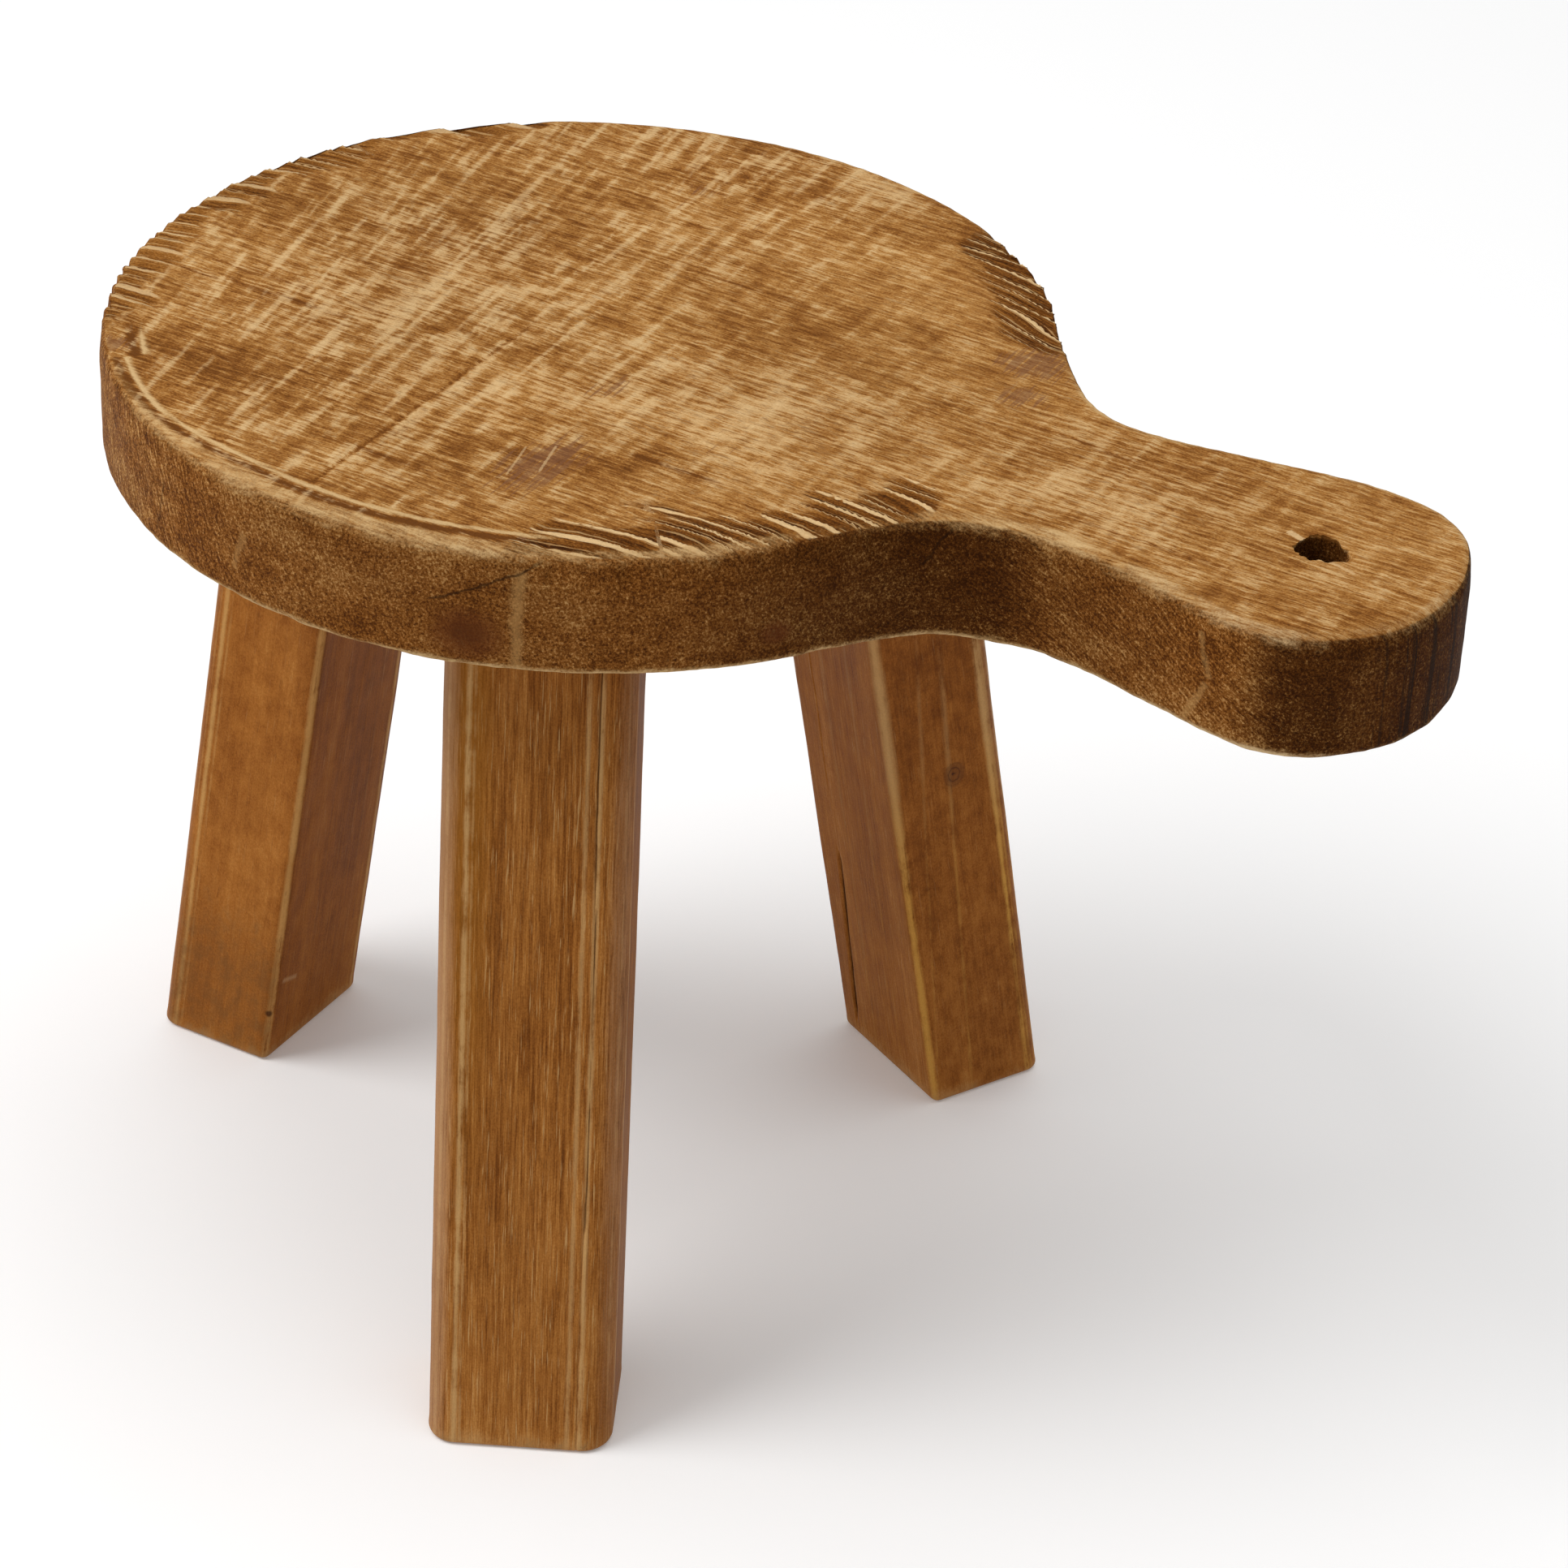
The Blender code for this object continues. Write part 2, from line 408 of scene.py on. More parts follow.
# ---------------------------------------------------------------- seat board's look

# Noises: what each follows, features per metre on its axes, detail and roughness
SEAT_NOISES = {
    "streak": ("sawn", (215, 85, 0), 2, 0.6),
    "patch": ("sawn", (95, 70, 0), 3, 0.6),
    "scratch": ("sawn", (1100, 60, 0), 2, 0.6),
    "stria": ("torn", (45, 1300, 0), 3, 0.65),
    "wander": ("rims", (170, 170, 0), 3, 0.6),
    "fibre": ("at", (85, 800, 800), 4, 0.72),
    "hair": ("at", (200, 2300, 2300), 3, 0.65),
    "speck": ("at", (1500, 2000, 2000), 2, 0.6),
    "fleck": ("at", (2300, 2300, 2300), 2, 0.7),
    "fuzz": ("at", (1500, 1500, 1500), 3, 0.8),
    "layer": ("at", (40, 260, 480), 3, 0.6),
    "cloud": ("at", (45, 45, 60), 4, 0.65),
    "blotch": ("at", (13, 20, 20), 3, 0.6),
    "rings": ("at", (12, 640, 14), 3, 0.7),
    "zone": ("at", (6, 8, 8), 2, 0.5),
}

# Pale splinters torn out of the top: from and to (metres about the disc's centre), half width, strength
TOP_CHIPS = (
    ((0.1990, 0.0066), (0.2052, 0.0042), 0.0019, 0.75),
    ((0.2130, -0.0010), (0.2220, -0.0035), 0.0010, 0.45),
    ((0.0275, -0.0590), (0.0310, -0.0740), 0.0007, 0.45),
    ((0.0210, -0.0640), (0.0250, -0.0800), 0.0007, 0.40),
)

# Pale veins and fine splits on the rim's side: from and to (metres along the rim, height), half width,
# strength
RIM_VEINS = (
    ((0.5215, UNDER - 0.001), (0.5225, UNDER + 0.030), 0.0036, 0.60),
    ((0.4460, UNDER + 0.008), (0.4510, UNDER + 0.020), 0.0024, 0.40),
    ((0.6900, UNDER + 0.002), (0.6970, UNDER + 0.015), 0.0024, 0.50),
    ((0.6970, UNDER + 0.015), (0.6930, UNDER + 0.028), 0.0024, 0.50),
)
RIM_SPLITS = (
    ((0.5000, UNDER + 0.0165), (0.5290, UNDER + 0.0310), 0.0006, 0.75),
    ((0.4150, UNDER + 0.003), (0.4200, UNDER + 0.021), 0.0007, 0.50),
    ((0.6180, UNDER + 0.020), (0.6260, UNDER + 0.031), 0.0006, 0.65),
)


def sawn_top(look):
    """Pale wood on worn saw ridges, brown in the hollows, and thin dark fibres along X."""
    left = look.step(look["x"], 0.05, -0.08)
    cross = look.total(0.55, (left, 0.5), zone=0.5)
    look["worn"] = look.times(look["worn"], cross)
    look["streak"] = look.times(look["streak"], cross)
    look["wear"] = look.total(0.36, worn=0.22, streak=0.5, patch=0.42, fibre=1.4, blotch=0.8, hair=1.15,
                              speck=0.65, line=-0.45, tone=0.17)
    top = look.ramp(
        look["wear"], (0.0, 0.13, 0.042, 0.006), (0.22, 0.225, 0.081, 0.014), (0.45, 0.365, 0.165, 0.04),
        (0.68, 0.48, 0.26, 0.088), (0.92, 0.59, 0.388, 0.18))
    rubbed = look.rise(0.14, 0.62, worn=0.35, streak=0.9, patch=1.0, fibre=1.7, hair=1.6, blotch=1.1,
                       zone=1.0, tone=0.34)
    top = look.paint(top, rubbed, 0.57, (0.59, 0.392, 0.188))
    bars = look.rise(0.42, 0.95, worn=1.0, fibre=1.0, hair=0.8, patch=1.2, zone=0.5)
    top = look.paint(top, bars, 0.36, (0.64, 0.448, 0.228))
    look["dark"] = look.rise(0.08, 0.18, hair=1.0, fibre=-0.5, patch=-0.25, speck=0.3, tone=0.025)
    return look.paint(top, look["dark"], 0.62, (0.15, 0.05, 0.009))


def torn_top(look, top):
    """The torn comb at the rim: a thin pale ridge at the start of each chip, brown fibres between. The pale
    ridges are partly torn wood and partly a painted highlight on the crests, and the brown is painted darker
    just behind each ridge and towards the rim, as painted shadow in the chips' hollows.
    """
    left = look.step(look["x"], -0.04, -0.12)
    look["far"] = look.step(look["y"], 0.02, 0.06)
    look["phase"] = look.calc("FRACT", look["chip"])
    off_ridge = look.calc("MINIMUM", look["phase"], look.calc("SUBTRACT", 1.0, look["phase"]))
    wide = look.times(look["lip"], look.total(0.025, comb=0.17, far=-0.085))
    # Pale ridge: torn wood, with a painted highlight on its crest
    ridge = look.rise(0.035, -0.02, (off_ridge, 1.0), (wide, -1.0), stria=0.2, hair=0.05)
    between = look.calc("FRACT", look.total(0.37, chip=2.0))
    small_ridge = look.rise(0.14, 0.04, (between, 1.0), stria=0.25, patch=0.8)
    # Painted shadow: darker just behind each ridge and where the comb is deepest, towards the rim
    shade = look.total(0.36, (left, 0.2), stria=1.45, speck=0.7, hair=0.6, phase=0.22, blotch=0.5,
                       comb=-0.26, far=0.03)
    torn = look.ramp(shade, (0.0, 0.045, 0.013, 0.0015), (0.3, 0.14, 0.045, 0.006),
                     (0.6, 0.28, 0.111, 0.02), (1.0, 0.48, 0.26, 0.09))
    torn = look.paint(torn, small_ridge, 0.6, (0.52, 0.315, 0.13))
    torn = look.paint(torn, ridge, look.total(0.95, (left, -0.3)), (0.66, 0.45, 0.225))
    return look.mix(look.rise(0.1, 0.45, comb=1.0, fibre=0.7, patch=0.4), top, torn)


def marked_top(look, top):
    """Bruised, purplish scratches, and splinters torn out."""
    bruised = look.rise(0.45, 0.85, bruise=1.0, scratch=2.4, blotch=0.8)
    top = look.paint(top, bruised, 0.62, (0.185, 0.08, 0.038))
    u, v, _ = look.axes(look["sawn"])
    for start, stop, half, most in TOP_CHIPS:
        flake = look.stroke(u, v, start, stop, half)
        flake = look.rise(0.25, 0.75, (flake, 1.0), hair=1.0, fibre=1.0, speck=0.6)
        top = look.paint(top, flake, most, (0.64, 0.44, 0.225))
    return top


def rim_side(look):
    """Fuzzy, sanded wood, stained much darker than the top, most of all on the end grain, and painted darker
    still where the rim faces away from the light.
    """
    u, v, _ = look.axes(look["rims"])
    leaning = look.combine(look.total(u, (v, 0.45)), v)
    hairs = look.times(look.noise(leaning, (1300, 130, 0), 3, 0.7), look["hairy"])
    slanting = look.combine(u, look.total(v, (u, 0.55)))
    slant_fibres = look.times(look.noise(slanting, (120, 1300, 0), 3, 0.7), look.step(u, 0.625, 0.645))
    slant_fibres = look.times(slant_fibres, look.step(u, 0.725, 0.71))
    dusty = look.total(0.42, (hairs, 2.4), (slant_fibres, 1.6), fuzz=2.8, cloud=1.2, layer=0.5)
    # From the light colour to the dark one by the stain and painted shade mark: darker where the rim faces
    # away from the light
    light = look.ramp(dusty, (0.0, 0.085, 0.024, 0.003), (0.35, 0.205, 0.068, 0.01),
                      (0.65, 0.345, 0.134, 0.028), (1.0, 0.62, 0.35, 0.125))
    dark = look.ramp(dusty, (0.0, 0.018, 0.004, 0.0005), (0.42, 0.056, 0.0145, 0.0012),
                     (0.75, 0.1, 0.034, 0.005), (1.0, 0.26, 0.122, 0.034))
    edge = look.mix(look.total(0.0, stain=1.0, cloud=0.6), light, dark)
    flecks = look.rise(0.13, 0.24, fleck=1.0, cloud=0.25)
    edge = look.paint(edge, flecks, look.total(0.72, stain=-0.36), (0.45, 0.24, 0.076))
    pits = look.rise(-0.09, -0.2, fuzz=1.0, cloud=0.3)
    return look.paint(edge, pits, 0.45, (0.05, 0.014, 0.002))


def marked_side(look, edge):
    """Veins, end-grain rings with painted glints between them, knots and fine splits."""
    u, v, _ = look.axes(look["rims"])
    u, v = look.total(u, wander=0.003), look.total(v, wander=-0.002)
    for start, stop, half, most in RIM_VEINS:
        vein = look.stroke(u, v, start, stop, half)
        vein = look.rise(0.25, 1.1, (vein, 1.0), cloud=1.0, fuzz=1.1)
        edge = look.paint(edge, vein, most, (0.42, 0.225, 0.075))
    bands = look.times(look.step(look["rings"], 0.0, 0.12), look["ending"])
    edge = look.paint(edge, bands, 0.9, (0.022, 0.01, 0.005))
    # Painted highlight: pale glints between the end grain's rings
    glints = look.times(look.rise(0.1, 0.22, rings=-1.0, fuzz=0.6), look["ending"])
    edge = look.paint(edge, glints, 0.5, (0.21, 0.11, 0.04))
    knot = look.rise(0.25, 0.9, bruise=1.0, cloud=0.7, fuzz=0.8)
    edge = look.paint(edge, knot, 0.62, (0.12, 0.032, 0.008))
    core = look.rise(0.8, 1.0, bruise=1.0, fuzz=0.5, cloud=0.4)
    edge = look.paint(edge, core, 0.6, (0.06, 0.015, 0.004))
    for start, stop, half, most in RIM_SPLITS:
        edge = look.paint(edge, look.stroke(u, v, start, stop, half), most, (0.02, 0.007, 0.002))
    return edge


def seat_look():
    look = Look("stained rough-sawn wood")
    look.place()
    look.read("Vector", "sawn", "torn", "rims")
    look.read("Fac", "worn", "comb", "chip", "lip", "arris", "side", "under", "stain", "bruise", "ending",
              "line", "hairy", "tone")
    look.noises(SEAT_NOISES)
    top = marked_top(look, torn_top(look, sawn_top(look)))
    edge = marked_side(look, rim_side(look))
    below = look.mix(look.rise(-0.25, 0.25, streak=0.8, fibre=0.8, blotch=0.5),
                     (0.2, 0.085, 0.024), (0.38, 0.19, 0.066))
    colour = look.mix(look.rise(0.3, 0.7, side=1.0, fuzz=0.9), top, edge)
    colour = look.mix(look["under"], colour, below)

    # Worn edges, where the wood is pale and looks dusty
    pale = look.rise(0.12, 1.25, arris=1.0, fuzz=0.85, cloud=1.0, fibre=1.2, hair=0.5)
    dust = look.mix(look.step(look["x"], 0.11, 0.16), (0.575, 0.38, 0.178), (0.61, 0.425, 0.225))
    colour = look.paint(colour, pale, 1.05, look.mix(pale, (0.34, 0.165, 0.04), dust))
    colour = look.shade(look.total(1.0, speck=0.45, blotch=0.35), colour)

    torn, fuzzy = look.times(look["stria"], look["comb"]), look.times(look["fuzz"], look["side"])
    height = look.total(0.0, (torn, 0.7), (fuzzy, 0.9), fibre=0.5, hair=0.45, speck=0.25, streak=0.25,
                        dark=-0.1)
    rough = look.total(0.6, wear=0.2, speck=0.2)
    return look.finish(colour, rough, height, relief=0.00045, specular=0.03)


# ---------------------------------------------------------------- legs' and dowels' looks

PALE = (0.520, 0.300, 0.115)  # where the stain is worn off
GOLDEN = (0.57, 0.29, 0.058)

LEG_NOISES = {
    "fibre": ("grain", (1250, 1250, 32), 4, 0.72),
    "pore": ("grain", (2800, 2800, 110), 2, 0.6),
    "fleck": ("grain", (2100, 2100, 85), 2, 0.6),
    "speck": ("grain", (2300, 2300, 1700), 2, 0.6),
    "mottle": ("grain", (240, 240, 150), 4, 0.68),
    "ring": ("grain", (150, 150, 1.5), 2, 0.55),
    "cloud": ("grain", (28, 28, 14), 3, 0.6),
    "waver": ("grain", (9, 9, 35), 2, 0.6),
}

# The wood's colours, from hollow to worn: position, red, green, blue. And each leg's stain over them.
LEG_SHADES = (
    (0.0, 0.070, 0.020, 0.003), (0.28, 0.150, 0.048, 0.008), (0.46, 0.245, 0.088, 0.017),
    (0.66, 0.360, 0.150, 0.037), (1.0, 0.560, 0.300, 0.110),
)
LEG_STAINS = {"rear": (1.0, 0.87, 0.6), "left": (1.02, 0.95, 0.76), "right": (0.98, 0.85, 0.62)}

# How each face is stained, from outer (+x), inner (-x), left (+y) to right (-y): shift towards pale,
# streaks, mottling. One face's stain blends into the next over this width.
LEG_FACES = {
    "rear": ((0.0, 1.0, 0.6), (-0.07, 0.45, 0.6), (0.07, 0.3, 0.9), (0.0, 1.0, 0.6)),
    "left": ((0.03, 1.3, 0.5), (0.0, 1.0, 0.6), (-0.04, 0.8, 0.6), (0.06, 0.9, 0.6)),
    "right": ((0.0, 1.0, 0.6), (0.06, 0.7, 0.5), (0.0, 1.0, 0.6), (-0.01, 0.4, 1.1)),
}
FACE_BLEND = 0.0012

# Worn lines along each leg: place on its section at the board, half width, strength, and how much x grows
# along the leg. Corners get theirs from their radii, and one below this radius is sharp.
LEG_LINES = {
    "rear": ((0.011, 0.0245, 0.0004, 0.4, 0.0), (0.0152, 0.0241, 0.0004, 0.35, 0.0),
             (0.0176, 0.0228, 0.0008, 0.5, 0.0), (-0.019, -0.012, 0.0004, 0.2, 0.0)),
    "left": ((0.0168, -0.0224, 0.0006, 0.75, 0.0), (0.019, 0.0128, 0.0006, 0.6, 0.0),
             (0.0156, 0.0231, 0.0005, 0.6, 0.0), (0.019, -0.0155, 0.0004, 0.5, 0.0),
             (0.019, -0.0205, 0.0006, 0.55, 0.0)),
    "right": ((0.0004, -0.0245, 0.0004, 0.22, 0.077), (0.006, -0.0245, 0.0005, 0.3, 0.051),
              (-0.019, -0.008, 0.0004, 0.2, 0.0), (-0.019, 0.006, 0.0005, 0.2, 0.0),
              (0.0172, -0.0224, 0.0006, 0.6, 0.0), (0.015, -0.0238, 0.0005, 0.45, 0.0)),
}
SHARP_RADIUS = 0.0045

# Marks low on the rear leg: a dot, and a scratch across its left side from and to (y, z), and its half width
REAR_DOT = (-0.0178, 0.024, -0.2105)
REAR_SCRATCH = ((0.0205, -0.1995), (0.0125, -0.2025), 0.0014)


def corner_lines(radii):
    """Pale lines where the wood is worn: along the middle of a sharp corner, and at both borders of a
    round one."""
    x, y = LEG_NARROW / 2, LEG_WIDE / 2
    for (sx, sy), r in zip(CORNERS, radii):
        if r < SHARP_RADIUS:
            off = r * (1 - math.sqrt(0.5))
            yield sx * (x - off), sy * (y - off), 0.001, 0.95, 0.0
        else:
            yield sx * x, sy * (y - r), 0.0007, 0.9, 0.0
            yield sx * (x - r), sy * y, 0.0007, 0.9, 0.0


def leg_wood(look, leg):
    """Streaky or mottled stained wood, in each face's own way, and painted lighter low down, where the floor
    throws light back onto it.
    """
    faces = []
    for value, half in ((look["x"], LEG_NARROW / 2), (look["y"], LEG_WIDE / 2)):
        inner, outer = half - 2 * FACE_BLEND, half - FACE_BLEND
        faces += [look.step(value, inner, outer), look.step(value, -inner, -outer)]
    for name, weights in zip(("shift", "streaks", "mottling"), zip(*LEG_FACES[leg])):
        look[name] = look.total(0.0, *zip(faces, weights))
    # Painted light: lighter low on each leg, standing in for light thrown back by the floor
    look["low"] = look.step(look["z"], -0.11, -0.22)
    look["streaky"] = look.times(look["fibre"], look["streaks"])
    look["pored"] = look.times(look["pore"], look["streaks"])
    look["mottled"] = look.times(look["mottle"], look["mottling"])
    wood = look.total(0.47, streaky=0.8, pored=0.5, mottled=0.55, ring=0.4, cloud=0.3, speck=0.3,
                      shift=1.0, foot=0.1, low=0.09)
    stops = [(position, *np.multiply(shade, LEG_STAINS[leg])) for position, *shade in LEG_SHADES]
    dark = look.rise(0.14, 0.3, pore=1.0, fibre=-0.25, streaks=0.04)
    colour = look.paint(look.ramp(wood, *stops), dark, 0.55, (0.085, 0.027, 0.006))
    flecks = look.times(look.rise(0.13, 0.26, fleck=1.0, streaks=0.03), look["streaks"])
    return look.paint(colour, flecks, 0.6, PALE)


def worn_lines(look, leg, colour):
    """Thin pale lines along the corners, broken up by the grain. On the right leg they are fuzzy and
    whiter high up."""
    look["wander"] = look.total(0.0, waver=0.002, mottle=0.0012, pore=0.0006)
    wander = look.calc("ABSOLUTE", look["wander"])
    fade = look.rise(-0.3, 0.0, cloud=1.0, mottle=0.6, fibre=0.6)
    high = look.step(look["z"], -0.16, -0.1) if leg == "right" else 0.0
    blur = look.total(1.9, (high, 1.2))
    tint = {"rear": (0.52, 0.275, 0.085), "left": PALE}.get(leg) or look.mix(high, GOLDEN, PALE)
    for line_x, line_y, half, strength, drift in (*corner_lines(LEGS[leg]["corners"]), *LEG_LINES[leg]):
        place = look.combine(look.total(look["x"], z=-drift), look["y"])
        off = look.calc("ADD", look.distance(place, (line_x, line_y, 0.0)), wander)
        line = look.step(off, look.times(blur, half), half * 0.35)
        colour = look.paint(colour, look.times(line, fade), strength, tint)
    return colour


def left_stain(look, colour):
    """More orange towards one side of the outer face, high up."""
    orange = look.times(look.step(look["y"], -0.008, -0.016), look.step(look["z"], -0.2, -0.06))
    return look.paint(colour, orange, 0.55, (0.3, 0.11, 0.01))


def left_dust(look, colour):
    """Dusty borders of the outer face."""
    right, left = look.step(look["y"], -0.0165, -0.0225), look.step(look["y"], 0.0165, 0.0225)
    border = look.times(look.total(right, (left, 0.55)), look.step(look["x"], 0.006, 0.015))
    border = look.rise(0.15, 1.1, (border, 1.0), fibre=0.8, pore=0.8, cloud=0.8)
    return look.paint(colour, border, 0.55, (0.45, 0.26, 0.135))


def rear_marks(look, colour):
    """Soot low on the left side, a dark dot, and a short pale scratch."""
    x, y, z = look["x"], look["y"], look["z"]
    soot = look.times(look.step(y, 0.0215, 0.024), look.step(z, -0.155, -0.205))
    soot = look.rise(0.4, 1.4, (soot, 1.0), mottle=2.6, cloud=0.4)
    colour = look.paint(colour, soot, 0.62, (0.13, 0.047, 0.012))
    dot = look.step(look.distance(look["grain"], REAR_DOT), 0.0015, 0.0006)
    colour = look.paint(colour, dot, 0.8, (0.04, 0.012, 0.004))
    scratch = look.stroke(look.total(y, wander=1.0), z, *REAR_SCRATCH)
    scratch = look.times(scratch, look.step(x, 0.0, -0.018))
    return look.paint(colour, scratch, 0.7, (0.42, 0.23, 0.1))


def leg_look(leg):
    look = Look("stained planed wood, " + leg + " leg")
    look.read("Vector", "grain")
    look.read("Fac", "crack", "foot", "knot")
    look["x"], look["y"], look["z"] = look.axes(look["grain"])
    look.noises(LEG_NOISES)
    colour = leg_wood(look, leg)
    if leg == "left":
        colour = left_dust(look, worn_lines(look, leg, left_stain(look, colour)))
    else:
        colour = worn_lines(look, leg, colour)
    if leg == "rear":
        colour = rear_marks(look, colour)

    # Dirt and scuffs at the foot, the knot's dark halo and rings, and the cracks
    dirt = look.rise(0.95, 1.35, foot=1.0, mottle=1.6, speck=0.8)
    colour = look.paint(colour, dirt, 0.7, (0.06, 0.024, 0.01))
    scuff = look.rise(0.55, 1.15, foot=1.0, cloud=1.4, mottle=0.8)
    colour = look.paint(colour, scuff, 0.45, PALE)
    colour = look.paint(colour, look.step(look["knot"], 0.0, 0.5), 0.55, (0.12, 0.04, 0.012))
    rings = look.step(look.calc("SINE", look.total(KNOT_PHASE, knot=KNOT_TURNS)), 0.2, 0.9)
    colour = look.paint(colour, look.times(rings, look["knot"]), 0.8, (0.035, 0.012, 0.006))
    colour = look.mix(look.step(look["crack"], 0.25, 0.7), colour, (0.012, 0.005, 0.002))
    colour = look.shade(look.total(1.0, speck=0.3, cloud=0.25), colour)
    rough = look.total(0.48, fibre=0.25, cloud=0.2)
    height = look.total(0.0, streaky=0.35, pored=0.45, speck=0.2, mottled=0.3)
    return look.finish(colour, rough, height, relief=0.00022, specular=0.04)


def dowel_look():
    look = Look("pale beech")
    look.place()
    look.noises({"fleck": ("at", (900, 900, 90), 3, 0.6), "cloud": ("at", (60, 60, 25), 2, 0.5)})
    pale = look.rise(-0.2, 0.25, fleck=1.0, cloud=0.7)
    colour = look.mix(pale, (0.5, 0.32, 0.17), (0.7, 0.52, 0.33))
    return look.finish(colour, look.total(0.6, fleck=0.2), look["fleck"], relief=0.0002, specular=0.3)


# ---------------------------------------------------------------- seat board

RIM_POINTS = 960
RIM_STEP = 0.001  # about the distance between two of them
BAND = 0.018  # the width of the fine rings along the rim
CHIP = 0.0051  # the width of a chip where nothing is torn
SAW_PITCH = 0.0054  # between two ridges that the saw left

# Points of the flat faces: the grid's corners, and its steps on the top and under the board
GRID_FROM = (-0.127, -0.125)
GRID_TO = (0.248, 0.125)
TOP_STEPS = (0.00105, 0.0015)
UNDER_STEPS = (0.0028, 0.0028)
UNDER_INSETS = (0.004, 0.0055, 0.0075)  # rings of points under the board, inside its edge

# How dark the rim's side is, at places along it in millimetres: from the far junction, round the disc,
# then the handle. Partly stain, heaviest on the end grain, and partly painted shade: darker where the rim
# faces away from the light, towards +X, and lighter at the left end, which faces the light.
SIDE_STAIN_AND_SHADE = (
    (0, 0.75), (60, 0.50), (100, 0.40), (200, 0.30), (295, 0.05), (404, 0.06), (459, 0.20), (491, 0.24),
    (524, 0.24), (556, 0.22), (589, 0.76), (615, 0.97), (636, 0.90), (650, 0.42), (680, 0.34), (692, 0.16),
    (704, 0.24), (714, 0.92), (728, 0.95), (736, 0.80), (745, 1.00), (800, 1.00), (830, 0.80), (870, 0.60),
    (910, 0.75), (935, 0.90), (960, 0.75),
)

# Where the saw tore the rim: from and to (degrees about the disc), reach inwards, depth, width of a chip
COMBS = (
    (150, 215, 0.0165, 0.0016, 0.0058),
    (128, 152, 0.0120, 0.0019, 0.0150),
    (-66, -40, 0.0300, 0.0017, 0.0072),
    (-46, -6, 0.0250, 0.0015, 0.0046),
    (27, 62, 0.0200, 0.0016, 0.0046),
)

# Long dark lines along the grain: from x, to x, y, rise, half width, strength
LINES = (
    (-0.112, -0.050, -0.0350, 0.02, 0.0014, 0.8),
    (0.045, 0.077, -0.0530, 0.00, 0.0009, 1.0),
    (-0.105, -0.030, -0.0262, 0.01, 0.0010, 0.5),
    (-0.030, 0.040, -0.0900, 0.03, 0.0009, 0.6),
    (0.000, 0.060, 0.0420, -0.02, 0.0009, 0.5),
    (-0.080, -0.020, 0.0700, 0.02, 0.0010, 0.5),
    (0.110, 0.190, 0.0180, -0.04, 0.0009, 0.5),
    (0.150, 0.215, -0.0180, -0.02, 0.0009, 0.5),
)

# Lighter and darker regions of the top: x, y, radius, shift
TONES = (
    (0.070, 0.000, 0.050, 1.0),
    (0.145, -0.005, 0.030, 0.4),
    (-0.045, -0.020, 0.024, 0.8),
    (-0.090, 0.030, 0.018, 0.8),
    (0.010, -0.092, 0.016, 0.8),
    (-0.022, 0.094, 0.018, -0.7),
    (-0.072, -0.092, 0.032, -0.8),
    (-0.074, -0.034, 0.014, -0.7),
    (-0.100, 0.060, 0.016, -0.4),
    (-0.064, 0.036, 0.022, 0.6),
    (0.012, 0.086, 0.024, -0.5),
    (0.026, 0.118, 0.015, 0.9),
)

# Knots and scratched places on the top: x, y, half length, half width, strength
BRUISES = (
    (0.033, -0.070, 0.011, 0.019, 0.95),
    (0.024, -0.026, 0.005, 0.012, 0.55),
    (0.107, 0.047, 0.012, 0.010, 1.00),
    (0.112, 0.030, 0.008, 0.008, 0.75),
    (-0.092, -0.080, 0.006, 0.005, 0.95),
    (0.049, -0.102, 0.002, 0.002, 1.0),
    (-0.018, 0.084, 0.010, 0.006, 0.45),
)

# Knots on the rim's side: azimuth, height above the underside, half size, strength
SIDE_KNOTS = (
    (-70.0, 0.0095, 0.0110, 0.95),
    (-35.0, 0.0085, 0.0048, 0.85),
    (150.0, 0.0160, 0.0060, 0.70),
)

# The torn mouth of the hanging hole: degrees from +X, radius in millimetres. It opens this much at heights
# down the bore.
HOLE_MOUTH = (
    (0, 9.0), (20, 6.8), (40, 5.8), (60, 5.8), (90, 6.3), (120, 6.2), (150, 5.7), (180, 5.5), (210, 5.9),
    (240, 6.3), (270, 6.1), (300, 6.2), (325, 7.3), (348, 9.5), (360, 9.0),
)
BORE_ROWS = (
    (TOP, 1.0), (TOP - 0.0008, 0.75), (TOP - 0.002, 0.45), (TOP - 0.0045, 0.15), (TOP - 0.010, 0.0),
    (TOP - 0.017, 0.0), (TOP - 0.024, 0.0), (UNDER + 0.004, 0.1), (UNDER + 0.0015, 0.4), (UNDER, 0.8),
)
BORE_SIDES = 60
HOLE_COLLAR = 0.0107  # radius of a ring of points round the hole, with no other points inside


def edge_path():
    """The board's edge in plan about the disc's centre, counter-clockwise."""
    angles = DISC_FROM + (DISC_TO - DISC_FROM) * np.arange(DISC_STEPS + 1) / DISC_STEPS
    disc = np.stack([DISC_HALF_LENGTH * np.cos(angles), DISC_HALF_WIDTH * np.sin(angles)], axis=1)
    knots = np.vstack([disc[-5], disc[-1], HANDLE_EDGE, disc[0], disc[4]])
    path = [disc[:-1]]
    t = (np.arange(EDGE_STEPS) / EDGE_STEPS)[:, None]
    for before, start, end, after in zip(knots, knots[1:], knots[2:], knots[3:]):
        leave, arrive = (end - before) / 2, (after - start) / 2
        path.append((2 * t**3 - 3 * t**2 + 1) * start + (t**3 - 2 * t**2 + t) * leave
                    + (3 * t**2 - 2 * t**3) * end + (t**3 - t**2) * arrive)
    return np.concatenate(path)


